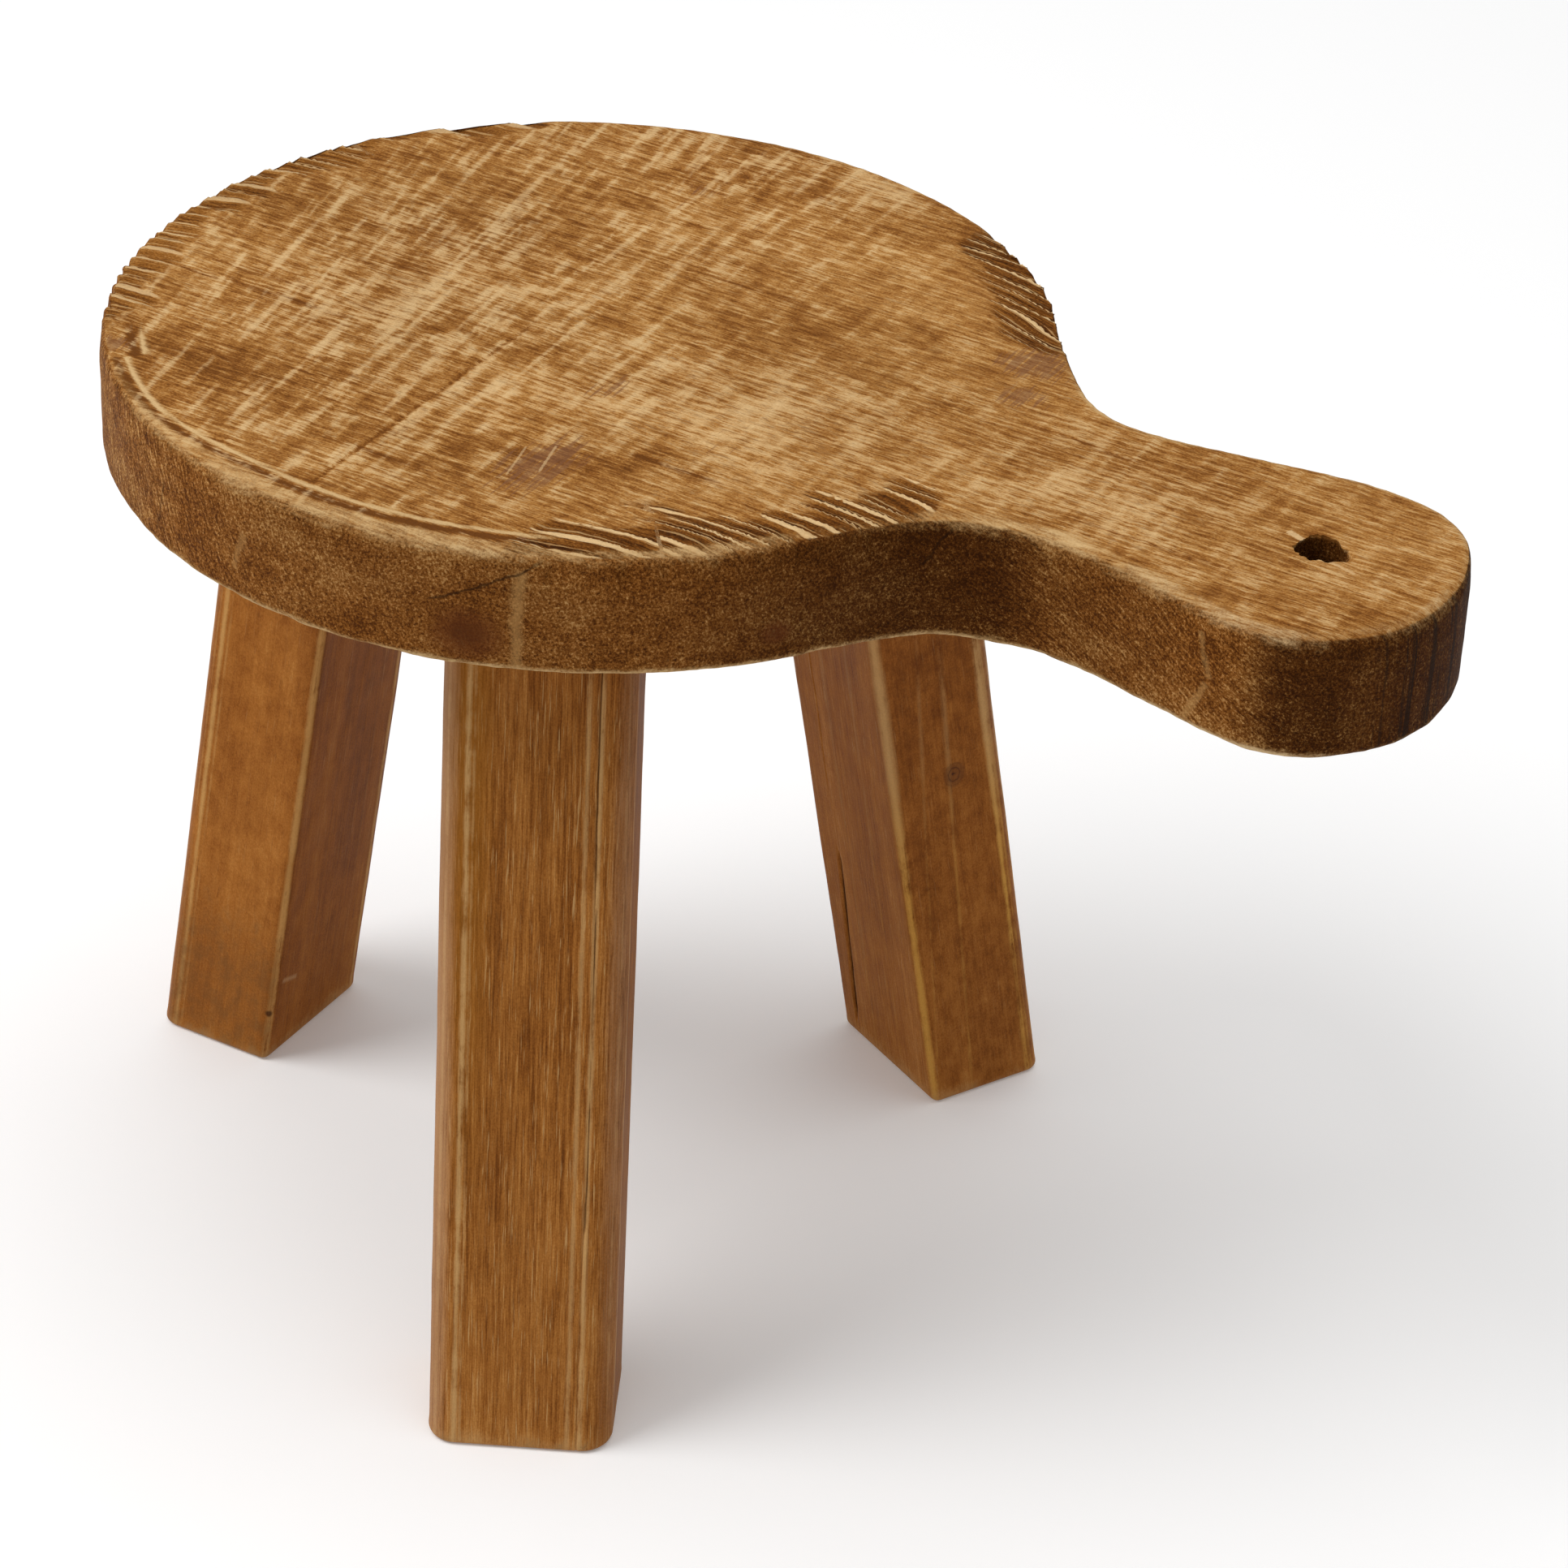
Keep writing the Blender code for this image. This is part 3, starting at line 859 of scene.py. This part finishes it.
def evenly(path, count):
    """This many points along a closed path, the same distance apart."""
    closed = np.vstack([path, path[:1]])
    along = np.concatenate([[0], np.cumsum(np.linalg.norm(np.diff(closed, axis=0), axis=1))])
    at = np.arange(count) / count * along[-1]
    return np.stack([np.interp(at, along, closed[:, axis]) for axis in (0, 1)], axis=1)


def outward(loop):
    """The outward normal at each point of a counter-clockwise loop."""
    tangent = np.roll(loop, -2, axis=0) - np.roll(loop, 2, axis=0)
    tangent /= np.linalg.norm(tangent, axis=1)[:, None]
    return np.stack([tangent[:, 1], -tangent[:, 0]], axis=1)


def azimuth(x, y):
    """From -135 to 225 degrees, so that the seam is on a plain part of the rim."""
    return (np.degrees(np.arctan2(y, x)) + 135) % 360 - 135


def within(around, middle, half, fade):
    """1 for azimuths around the middle one, and 0 from half away."""
    return smooth(half, half - fade, np.abs((around - middle + 180) % 360 - 180))


def chip_place(x, y):
    """Measures across the chips of the torn rim. Each chip's ridge is a low arch that dips to the rim."""
    right = smooth(0.02, 0.05, x)
    near_top = 0.1 + (y + 0.035) * 0.45
    off = x - near_top
    arch = np.where(off > 0, 5.0, 9.0) * np.clip(off, -0.022, 0.04) ** 2 * right * smooth(0.0, -0.02, y)
    arch += 4.0 * np.clip(x - 0.055, 0, 0.05) ** 2 * smooth(0.0, 0.02, y)
    arch += 6.0 * np.clip(-0.104 - x, 0, 0.03) ** 2
    warp = (lattice(x / 0.04, y / 0.0065, 5) - 0.5) * 0.004
    warp = warp + (lattice(x / 0.012, y / 0.004, 6) - 0.5) * 0.0006
    return y + arch + warp


def comb_depth(x, y, rim):
    """(depth, mask, strength of the pale ridge, chip count) of the torn rim."""
    around = azimuth(x, y)
    across = chip_place(x, y)
    depth, mask, lip = np.zeros_like(x), np.zeros_like(x), np.zeros_like(x)
    chip = across / CHIP + 100.0
    for start, stop, reach, most, wide in COMBS:
        here = smooth(start - 2, start + 6, around) * smooth(stop + 2, stop - 6, around)
        here = here * (np.hypot(x, y) > 0.08) * smooth(0.128, 0.112, x)
        phase = across / wide + 100.0
        index = np.floor(phase)
        t = phase - index
        gap = smooth(0.0, 0.14, t) * (1 - 0.85 * t) + 0.1
        far = reach * (0.55 + 0.6 * per_index(index, 8)) * (0.35 + 0.65 * here)
        inwards = np.clip(1 - rim / far, 0, 1)
        depth = np.maximum(depth, most * here * gap * inwards**0.8 * (0.6 + 0.6 * per_index(index, 9)))
        mask = np.maximum(mask, smooth(0.0, 0.4, here) * smooth(0.0, 0.45, inwards))
        strong = 0.25 + 0.75 * smooth(0.15, 0.6, per_index(np.round(phase), 10))
        lip = np.maximum(lip, strong * here)
        chip = np.where(here > 0, phase, chip)
    return depth, mask, lip, chip


def slant(x):
    """How far the saw's marks lean from straight across the grain."""
    return np.clip(0.1 - 1.7 * x, 0.05, 0.3)


def saw_streaks(x, y):
    """Worn saw ridges, as separate streaks across the grain."""
    rng = np.random.default_rng(17)
    worn = np.zeros_like(x)
    for _ in range(1500):
        at_x, at_y = rng.uniform(-0.126, 0.246), rng.uniform(-0.122, 0.122)
        at_x = round(at_x / SAW_PITCH) * SAW_PITCH + rng.normal(0, 0.0008)
        long = 2 if at_x < 0.005 else 4
        half = rng.uniform(0.003, 0.006) + 0.026 * rng.random() ** long
        width = rng.uniform(0.0006, 0.0015)
        strength = rng.uniform(0.3, 1.0)
        lean = slant(at_x) + rng.normal(0, 0.02)
        near = np.flatnonzero((np.abs(y - at_y) < half) & (np.abs(x - at_x) < 0.012))
        if len(near):
            along = (y[near] - at_y) / half
            across = (x[near] - at_x + lean * (y[near] - at_y)) / width
            worn[near] = np.maximum(worn[near], strength * np.exp(-across**2) * np.sqrt(1 - along**2))
    return worn


def bruises(x, y):
    result = np.zeros_like(x)
    for at_x, at_y, half_x, half_y, most in BRUISES:
        away = np.hypot((x - at_x) / half_x, (y - at_y) / half_y)
        result = np.maximum(result, most * smooth(1.5, 0.2, away))
    return result


def side_knots(around, above):
    """Knots at an azimuth and a height above the underside."""
    result = np.zeros_like(above)
    for at_turn, at_height, half, most in SIDE_KNOTS:
        arc = np.radians(around - at_turn) * 0.124
        away = np.hypot(arc / half, (above - at_height) / (half * 0.85))
        result = np.maximum(result, most * smooth(1.5, 0.2, away))
    return result


def tones(x, y):
    result = np.zeros_like(x)
    for at_x, at_y, radius, shift in TONES:
        result += shift * np.exp(-((x - at_x) ** 2 + (y - at_y) ** 2) / radius**2)
    return result


def dark_lines(x, y):
    result = np.zeros_like(x)
    for start, stop, at_y, rise, width, most in LINES:
        path = at_y + rise * (x - start) + 0.0006 * (lattice(x / 0.008, x * 0, 77) - 0.5)
        line = most * band(y - path, 0, width) * smooth(start, start + 0.006, x)
        result = np.maximum(result, line * smooth(stop, stop - 0.006, x))
    return result


def top_relief(x, y, rim):
    """How far the top lies below the CAD's plane, and the marks that its material reads."""
    worn = saw_streaks(x, y)
    depth, mask, lip, chip = comb_depth(x, y, rim)
    across = x + slant(x) * y
    warp = (layered(x / 0.02, y / 0.05, 31) - 0.5) * 0.004
    wave = 0.5 + 0.5 * np.cos(2 * np.pi * (across + warp) / SAW_PITCH)
    strength = layered(x / 0.03, y / 0.04, 41)
    fibres = layered(x / 0.02, y / 0.0022, 51)
    below = (0.00016 * (1 - wave * strength) + 0.00012 * (1 - worn) + 0.00012 * (1 - fibres)
             + 0.0004 * (1 - layered(x / 0.06, y / 0.05, 61)))
    groove = band(x + 0.0085 + 0.03 * (y + 0.06) + 0.0006 * layered(y / 0.01, y * 0, 71), 0, 0.0009)
    groove *= smooth(0.0, -0.012, y) * smooth(-0.118, -0.105, y)
    bruise = bruises(x, y)
    below = below + 0.0002 * groove + 0.0003 * bruise * layered(x / 0.0015, y / 0.012, 81)
    line = np.maximum(dark_lines(x, y), 0.45 * groove)
    torn = np.column_stack([x, chip_place(x, y), np.zeros(len(x))])
    sawn = np.column_stack([across, y, np.zeros(len(x))])
    marks = {"worn": np.clip(worn - 0.6 * groove, -1, 1), "comb": mask, "lip": lip, "bruise": bruise,
             "line": line, "chip": chip, "tone": tones(x, y), "torn": torn, "sawn": sawn}
    return below + depth + 0.0002 * line, marks


def board_rows(loop, normals):
    """The rim's profile as rows of (inset, height, kind), from the inner edge of the top band round to the
    underside. Inset and height vary along the rim. Also how far the worn top edge reaches in and falls, and
    the size of the lower arris."""
    around = azimuth(loop[:, 0], loop[:, 1])
    beyond = smooth(0.1, 0.125, loop[:, 0])
    along = np.arange(len(loop))
    wobble = layered(along / 9.0, along * 0.0, 91)
    near = 0.0034 * within(around, -62, 62, 26) * (1 - beyond)
    reach = 0.0036 + near + 0.0018 * beyond + 0.0014 * (wobble - 0.5)
    reach = reach * (1 - 0.55 * smooth(-0.1, 0.5, normals[:, 1]))
    reach = (np.roll(reach, 2) + np.roll(reach, 1) + reach + np.roll(reach, -1) + np.roll(reach, -2)) / 5
    fall = np.minimum(reach * 0.85, 0.004)
    lower = 0.0022 + 0.0016 * (layered(along / 6.0, along * 0.0, 95) - 0.35)
    rows = []
    for t in np.linspace(0, 1, 13)[:-1]:
        rows.append((BAND + (reach - BAND) * t, np.full(len(loop), TOP), "top"))
    for angle in np.radians(np.linspace(0, 90, 9)):
        rows.append((reach * (1 - math.sin(angle)), TOP - fall * (1 - math.cos(angle)), "arris"))
    for t in np.linspace(0, 1, 16)[1:-1]:
        rows.append((0 * reach, (TOP - fall) * (1 - t) + (UNDER + lower) * t, "side"))
    for angle in np.radians(np.linspace(0, 90, 6)):
        rows.append((lower * (1 - math.cos(angle)), UNDER + lower * (1 - math.sin(angle)), "lower"))
    for inset in UNDER_INSETS:
        rows.append((np.full(len(loop), inset), np.full(len(loop), UNDER), "under"))
    return rows, reach, fall, lower


def add_rim(shell, loop, normals):
    """The band along the rim, from the top over the side to the underside. Returns its rings of vertices."""
    rows, reach, fall, lower = board_rows(loop, normals)
    along = np.arange(RIM_POINTS)
    rings = []
    for inset, height, kind in rows:
        points = np.column_stack([loop - normals * inset[:, None], height])
        side_drop = np.clip(1 - (TOP - height - fall) / 0.006, 0, 1)
        drop = {"top": 1.0, "arris": 1.0, "side": side_drop}.get(kind, 0.0)
        side = {"arris": smooth(0.6, 0.1, inset / reach), "side": 1.0, "lower": 1.0}.get(kind, 0.0)
        under = {"lower": smooth(0.5, 1.0, inset / np.maximum(lower, 1e-5)), "under": 1.0}.get(kind, 0.0)
        rings.append(shell.add(points, rim=inset, drop=drop, side=side, under=under, along=along,
                               reach=reach, fall=fall))
    shell.join(rings, flip=True)
    return rings


def add_bore(shell):
    """The hanging hole: a drilled bore, torn along the grain at both ends. Returns its two mouths."""
    turn = np.arange(BORE_SIDES) / BORE_SIDES * 2 * np.pi
    mouth = np.interp(np.degrees(turn), *zip(*HOLE_MOUTH)) * MM
    ragged = 0.5 - layered(turn * 5.0, turn * 0.0, 101) + 0.5 * (0.5 - lattice(turn * 11.0, turn * 0.0, 104))
    mouth += 0.0015 * ragged * smooth(0, 0.4, turn) * smooth(2 * np.pi, 2 * np.pi - 0.4, turn) - HOLE_RADIUS
    bores = []
    for height, opening in BORE_ROWS:
        rough = 0.0005 * (layered(turn * 4 + height * 900, np.full(BORE_SIDES, height * 400), 105) - 0.3)
        radius = HOLE_RADIUS + opening * mouth + np.maximum(rough, 0)
        ring = at_height(HOLE_AT + radius[:, None] * circle(BORE_SIDES), height)
        bores.append(shell.add(ring, rim=0.03, bore=1.0, drop=float(height == TOP),
                               under=float(height == UNDER)))
    shell.join(bores)
    return bores[0], bores[-1]


def fill_top(shell, loop, normals, rim, mouth):
    """The top between the rim's band and the hanging hole."""
    free = grid(GRID_FROM, GRID_TO, *TOP_STEPS)
    free = free[winding(free, loop - normals * BAND)]
    from_rim, from_hole = nearest(free, loop), np.hypot(*(free - HOLE_AT).T)
    keep = (from_rim > BAND + 0.0007) & (from_hole > HOLE_COLLAR + 0.0003)
    collar = HOLE_AT + HOLE_COLLAR * circle(72)
    free = np.vstack([free[keep], collar])
    from_rim = np.concatenate([from_rim[keep], np.full(len(collar), 0.03)])
    shell.fill([rim, mouth], free, TOP, True, rim=from_rim, drop=1.0)


def fill_underside(shell, border, rim, mouth):
    """The underside between the rim's band and the holes, and the dowels' holes in it."""
    mouths = [mouth]
    for place in LEGS.values():
        mouths += add_sockets(shell, leg_frame(place, (0, 0)), UNDER, SOCKET_IN_BOARD, under=1.0, bore=1.0)
    free = grid(GRID_FROM, GRID_TO, *UNDER_STEPS)
    free = free[winding(free, border)]
    far = nearest(free, border)
    for hole in mouths:
        ring = shell.array()[hole][:, :2]
        far = np.minimum(far, np.where(winding(free, ring), 0, nearest(free, ring)))
    shell.fill([rim, *mouths], free[far > 0.0014], UNDER, False, rim=0.02, under=1.0)


def worn_edges(shell, x, y, around, flat_height, marks):
    """Where the wood is worn pale: on the arrises, and along a line just inside the rim, on the near side.
    Also darkens the marks' line next to that one."""
    rim, side, under, reach, fall = (shell.mark(key) for key in ("rim", "side", "under", "reach", "fall"))
    handle = smooth(0.108, 0.125, x)
    near = within(around, -102, 46, 10) * (1 - handle)
    on_top = 1 - np.clip(side + under, 0, 1)
    fine = layered(np.arange(len(x)) % RIM_POINTS / 5.0, rim / 0.002, 121)
    wide = np.maximum(np.maximum(within(around, -80, 60, 25), handle), 0.6 * within(around, 82, 32, 14))
    corner = smooth(reach + 0.0012, reach * 0.8, rim) * (0.45 + 0.55 * wide)
    corner *= smooth(fall + 0.0002 + 0.0018 * wide, 0.0, TOP - flat_height)
    inset = 0.006 + 0.005 * smooth(-124, -100, around)
    inner = 1.6 * band(rim, inset, 0.0018) * near * on_top
    marks["line"] = np.maximum(marks["line"], 1.2 * band(rim, inset - 0.0028, 0.002) * near * on_top)
    handle_near = handle * smooth(0.0, -0.02, y)
    inner = np.maximum(inner, 0.8 * band(rim, 0.0052, 0.003) * handle_near * on_top)
    low_corner = band(flat_height, UNDER + 0.0008, 0.0026) * side
    arris = np.maximum(corner * (0.85 - 0.1 * marks["comb"]), 0.85 * inner)
    arris = np.maximum(arris, (0.65 + 0.35 * wide) * low_corner) * (0.65 + 0.6 * fine)
    return np.where(shell.mark("bore") > 0, 0.0, arris) * (1 - 0.4 * smooth(0.22, 0.24, x))


def make_board(material):
    """The seat board. Returns the place of the disc's centre."""
    loop = evenly(edge_path(), RIM_POINTS)
    normals = outward(loop)
    centre = [(low + high - values.min() - values.max()) / 2
              for low, high, values in zip(seat_low, seat_high, loop.T)]
    shell = Shell("rim", "drop", "side", "under", "along", "bore", "reach", "fall")
    rings = add_rim(shell, loop, normals)
    top_mouth, under_mouth = add_bore(shell)
    fill_top(shell, loop, normals, rings[0], top_mouth)
    fill_underside(shell, loop - normals * UNDER_INSETS[-1], rings[-1], under_mouth)

    # Relief: down on the top, in and down on the arris, in on the side
    points = shell.array()
    x, y, flat_height = np.ascontiguousarray(points.T)
    rim, drop, side, under, bore = (shell.mark(key) for key in ("rim", "drop", "side", "under", "bore"))
    below, marks = top_relief(x, y, rim)
    out = padded(np.tile(normals, (len(rings), 1)), len(points))
    steep = np.maximum(smooth(0, 1, 1 - rim / np.maximum(shell.mark("reach"), 1e-9)), side)
    points[:, 2] -= below * drop * (1 - 0.75 * side)
    height = points[:, 2]
    place = np.arange(len(points)) % RIM_POINTS
    inwards = below * drop * steep * 0.9 + 0.00035 * side * layered(place / 14.0, height / 0.006, 111)
    points[:, :2] -= out * inwards[:, None]

    # The side's stain and painted shade: end grain drinks more stain, and the sanded left end less. The rim
    # is also painted darker where it faces away from the light, and lighter at the left end, which faces it.
    around = azimuth(x, y)
    stain = np.interp(place, *zip(*SIDE_STAIN_AND_SHADE))
    stain += 0.25 * (layered(x / 0.03, height / 0.02 + y / 0.03, 131) - 0.5)
    on_top = 1 - np.clip(side + under, 0, 1)
    in_bore = np.where(height > TOP - 0.0012, 0.3, 1.0)
    marks.update({
        "arris": worn_edges(shell, x, y, around, flat_height, marks),
        "comb": marks["comb"] * np.clip(on_top + 0.3, 0, 1) * (bore == 0),
        "bruise": np.where(side > 0.5, side_knots(around, height - UNDER), marks["bruise"] * on_top),
        "hairy": (0.25 + 0.75 * within(around, -150, 62, 35)) * side,
        "side": np.where(bore > 0, in_bore, side),
        "under": under * (bore == 0),
        "stain": np.where(bore > 0, 0.75, np.clip(stain, 0, 1)),
        "ending": smooth(0.72, 0.95, out[:, 0]) * smooth(0.14, 0.17, x),
        "rims": np.column_stack([shell.mark("along") * RIM_STEP, height, np.zeros(len(x))]),
    })
    points[:, :2] += centre
    piece("seat_board", shell, points, material, "seat", marks)
    return centre


# ---------------------------------------------------------------- legs

# Cracks: place on the section at the lower end (x, y), from and to above the floor, half width, depth, and
# how much y grows upwards
LEG_CRACKS = {
    "rear": (),
    "left": ((0.019, 0.0158, 0.06, 0.24, 0.00022, 0.0005, 0.0),
             (0.019, 0.0155, -0.01, 0.075, 0.00016, 0.0003, 0.0)),
    "right": ((-0.019, 0.0162, 0.004, 0.072, 0.00055, 0.0016, -0.062),
              (-0.019, 0.012, 0.09, 0.15, 0.00015, 0.0003, 0.0)),
}
LEG_INSET = 0.00003  # keeps the legs inside the CAD's
LEG_ROWS = 120

# The knot on the right leg: place on the section, height, radius. And its rings.
KNOT = (0.0015, -0.0245, 0.112, 0.0032)
KNOT_TURNS = 17.0
KNOT_PHASE = 3.42


def leg_loop(radii, cracks):
    """The leg's section as a closed loop, counter-clockwise from +X, with more points at its corners and
    cracks."""
    half_x, half_y = LEG_NARROW / 2, LEG_WIDE / 2
    corners = []
    for quarter, ((sx, sy), r) in enumerate(zip(CORNERS, radii)):
        steps = max(5, int(round(r / 0.0005)) + 1)
        turn = np.radians(np.linspace(quarter * 90, quarter * 90 + 90, steps))
        arc_x, arc_y = sx * (half_x - r) + r * np.cos(turn), sy * (half_y - r) + r * np.sin(turn)
        corners.append(np.stack([arc_x, arc_y], axis=1))
    path = []
    for arc, following in zip(corners, corners[1:] + corners[:1]):
        start, end = arc[-1], following[0]
        length = np.linalg.norm(end - start)
        spots = np.linspace(0, length, int(round(length / 0.0016)) + 1)[1:-1]
        for crack_x, crack_y, low, high, _, _, rise in cracks:
            ends = [np.dot(np.array((crack_x, crack_y + grown)) - start, (end - start) / length)
                    for grown in (0.0, rise * (high - low))]
            beside = np.linalg.norm(start + (end - start) * ends[0] / length - (crack_x, crack_y))
            if beside < 0.001 and -0.001 < ends[0] < length + 0.001:
                close = np.arange(min(ends) - 0.0014, max(ends) + 0.0015, 0.0002)
                apart = (spots < close[0] - 0.0004) | (spots > close[-1] + 0.0004)
                spots = np.concatenate([spots[apart], close[(close > 0.0002) & (close < length - 0.0002)]])
        spots = np.sort(spots)[:, None]
        path += [arc, start + (end - start) * spots / length]
    return np.concatenate(path)


def add_leg_sides(shell, matrix, loop, normals):
    """The leg's sides from the rounded arris of its foot up to its head. Returns its rings of vertices."""
    turn = np.radians(np.linspace(90, 0, 6))
    heights = [*(FOOT_ARRIS * (1 - np.sin(turn))), *np.linspace(FOOT_ARRIS, UNDER - GAP, LEG_ROWS)[1:]]
    insets = padded(FOOT_ARRIS * (1 - np.cos(turn)), len(heights))
    rings = []
    for height, inset in zip(heights, insets):
        rings.append(shell.add(level(matrix, loop - normals * inset, height), t=height))
    shell.join(rings)
    return rings


def fill_leg_ends(shell, matrix, loop, sole, rings):
    """The sole, and the head with the dowels' holes."""
    spots = grid((-0.018, -0.024), (0.018, 0.024), 0.003, 0.003)
    inside = spots[winding(spots, sole) & (nearest(spots, sole) > 0.0015)]
    shell.fill([rings[0]], level(matrix, inside, 0.0)[:, :2], 0.0, False)
    head = UNDER - GAP
    mouths = add_sockets(shell, matrix, head, -SOCKET_IN_LEG, t=UNDER)
    spots = spots[winding(spots, loop) & (nearest(spots, loop) > 0.002)]
    for side in (-1, 1):
        spots = spots[np.hypot(spots[:, 0], spots[:, 1] - side * SOCKET_OFFSET) > SOCKET_RADIUS + 0.0015]
    shell.fill([rings[-1], *mouths], level(matrix, spots, head)[:, :2], head, True, t=UNDER)


def leg_cracks(leg, x, y, t, seed):
    """How dark the cracks are at places on the section and along the leg, and how deep."""
    crack, depths = np.zeros(len(t)), np.zeros(len(t))
    waver = 0.0008 * (lattice(t / 0.045, t * 0, seed + 4) - 0.5)
    waver = waver + 0.0003 * (lattice(t / 0.006, t * 0, seed + 5) - 0.5)
    for crack_x, crack_y, low, high, half, depth, rise in LEG_CRACKS[leg]:
        swell = 0.45 + 0.75 * lattice(t / 0.013, t * 0, seed + 6)
        swell *= smooth(low, low + 0.008, t) * smooth(high, high - 0.006, t)
        away = np.hypot(x - crack_x, y - crack_y - rise * (t - low) - waver)
        cut = np.exp(-(away / (half * (0.5 + swell))) ** 2) * np.clip(swell * 1.3, 0, 1)
        crack = np.maximum(crack, cut * min(1, half / 0.0004))
        depths += depth * cut
    return crack, depths


def make_leg(leg, centre, seed, material):
    matrix = leg_frame(LEGS[leg], centre)
    loop = leg_loop(LEGS[leg]["corners"], LEG_CRACKS[leg])
    normals = outward(loop)
    shell = Shell("t")
    rings = add_leg_sides(shell, matrix, loop, normals)
    fill_leg_ends(shell, matrix, loop, loop - normals * FOOT_ARRIS, rings)

    # Planed unevenly, dented and cracked
    points = shell.array()
    x, y = np.tile(loop, (len(rings), 1)).T
    t = shell.mark("t")[:len(x)]
    lumps = layered((x + y) / 0.016 + t / 0.09 + 40, (y - x) / 0.016 + t / 0.03 + 40, seed + 1)
    dents = layered(x / 0.006 + t / 0.011 + 60, y / 0.006 - t / 0.017 + 60, seed + 3)
    crack, depths = leg_cracks(leg, x, y, t, seed)
    inwards = LEG_INSET + (0.0003 * lumps + 0.00014 * dents) * smooth(0.0, 0.004, t) + depths
    out = np.tile(normals @ matrix[:3, :2].T, (len(rings), 1))
    points[:len(x)] -= out * inwards[:, None]
    points[:, 2] = np.maximum(points[:, 2], 0)

    knot = np.zeros(len(x))
    if leg == "right":
        away = np.hypot(x - KNOT[0] - 0.1 * (t - KNOT[2]), (t - KNOT[2]) * 0.85) / KNOT[3]
        knot = np.clip(1.25 - away, 0, 1) * (y < KNOT[1] + 0.001)
    local = np.column_stack([points, np.ones(len(points))]) @ np.linalg.inv(matrix).T
    marks = {"crack": padded(crack, len(points)), "foot": padded(smooth(0.012, 0.0, t), len(points), 1.0),
             "knot": padded(knot, len(points)), "grain": local[:, :3]}
    piece("leg_" + leg + "_bar", shell, points, material, "leg_" + leg, marks)


# ---------------------------------------------------------------- stage

def make_floor():
    half = 6.0
    mesh = bpy.data.meshes.new("floor")
    mesh.from_pydata([(-half, -half, 0), (half, -half, 0), (half, half, 0), (-half, half, 0)], [],
                     [(0, 1, 2, 3)])
    material = bpy.data.materials.new("pale floor")
    material.use_nodes = True
    shader = material.node_tree.nodes["Principled BSDF"].inputs
    shader["Base Color"].default_value = (0.9, 0.9, 0.9, 1)
    shader["Roughness"].default_value = 0.9
    shader["Specular IOR Level"].default_value = 0.1
    shader["Emission Color"].default_value = (1, 1, 1, 1)
    shader["Emission Strength"].default_value = 0.12
    mesh.materials.append(material)
    floor = bpy.data.objects.new("floor", mesh)
    bpy.context.scene.collection.objects.link(floor)


def area_light(name, place, aim, size, power):
    """A round light that shines on a place."""
    light = bpy.data.lights.new(name, "AREA")
    light.shape = "DISK"
    light.size = size
    light.energy = power
    lamp = bpy.data.objects.new(name, light)
    lamp.location = place
    lamp.rotation_euler = (Vector(aim) - Vector(place)).to_track_quat("-Z", "Y").to_euler()
    bpy.context.scene.collection.objects.link(lamp)


def make_lights():
    world = bpy.data.worlds.new("studio")
    world.use_nodes = True
    sky = world.node_tree.nodes["Background"]
    sky.inputs["Color"].default_value = (1.0, 1.0, 1.0, 1)
    sky.inputs["Strength"].default_value = 0.42
    bpy.context.scene.world = world
    aim = (0.0, 0.0, 0.15)
    area_light("key", (-1.3, -1.1, 2.3), aim, 1.6, 40)
    area_light("top", (0.1, 0.3, 2.6), aim, 2.4, 24)
    bpy.context.scene.view_settings.view_transform = "Standard"


def make_camera(centre):
    """At the photograph's viewing angle: its place about the disc's centre, and how it is turned."""
    turn, elevation, roll = math.radians(29.9618), math.radians(32.207), math.radians(2.6064)
    place = Vector((centre[0] + 0.62344, centre[1] - 0.9683, 0.84763))
    flat = math.cos(elevation)
    back = Vector((math.sin(turn) * flat, -math.cos(turn) * flat, math.sin(elevation)))
    right = Vector((math.cos(turn), math.sin(turn), 0))
    up = back.cross(right)
    x_axis = right * math.cos(roll) + up * math.sin(roll)
    y_axis = up * math.cos(roll) - right * math.sin(roll)
    data = bpy.data.cameras.new("camera")
    data.sensor_width = 36
    data.lens = 114.44
    data.clip_start = 0.05
    data.clip_end = 50
    camera = bpy.data.objects.new("camera", data)
    camera.matrix_world = Matrix.Translation(place) @ Matrix((x_axis, y_axis, back)).transposed().to_4x4()
    bpy.context.scene.collection.objects.link(camera)
    bpy.context.scene.camera = camera


def main():
    seat_wood, dowel_wood = seat_look(), dowel_look()
    centre = make_board(seat_wood)
    for seed, leg in enumerate(LEGS, start=3):
        make_leg(leg, centre, seed * 10, leg_look(leg))
    for name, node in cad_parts.items():
        if name.startswith("dowel_"):
            for material_slot in node.material_slots:
                material_slot.material = dowel_wood
    make_floor()
    make_lights()
    make_camera(centre)


main()
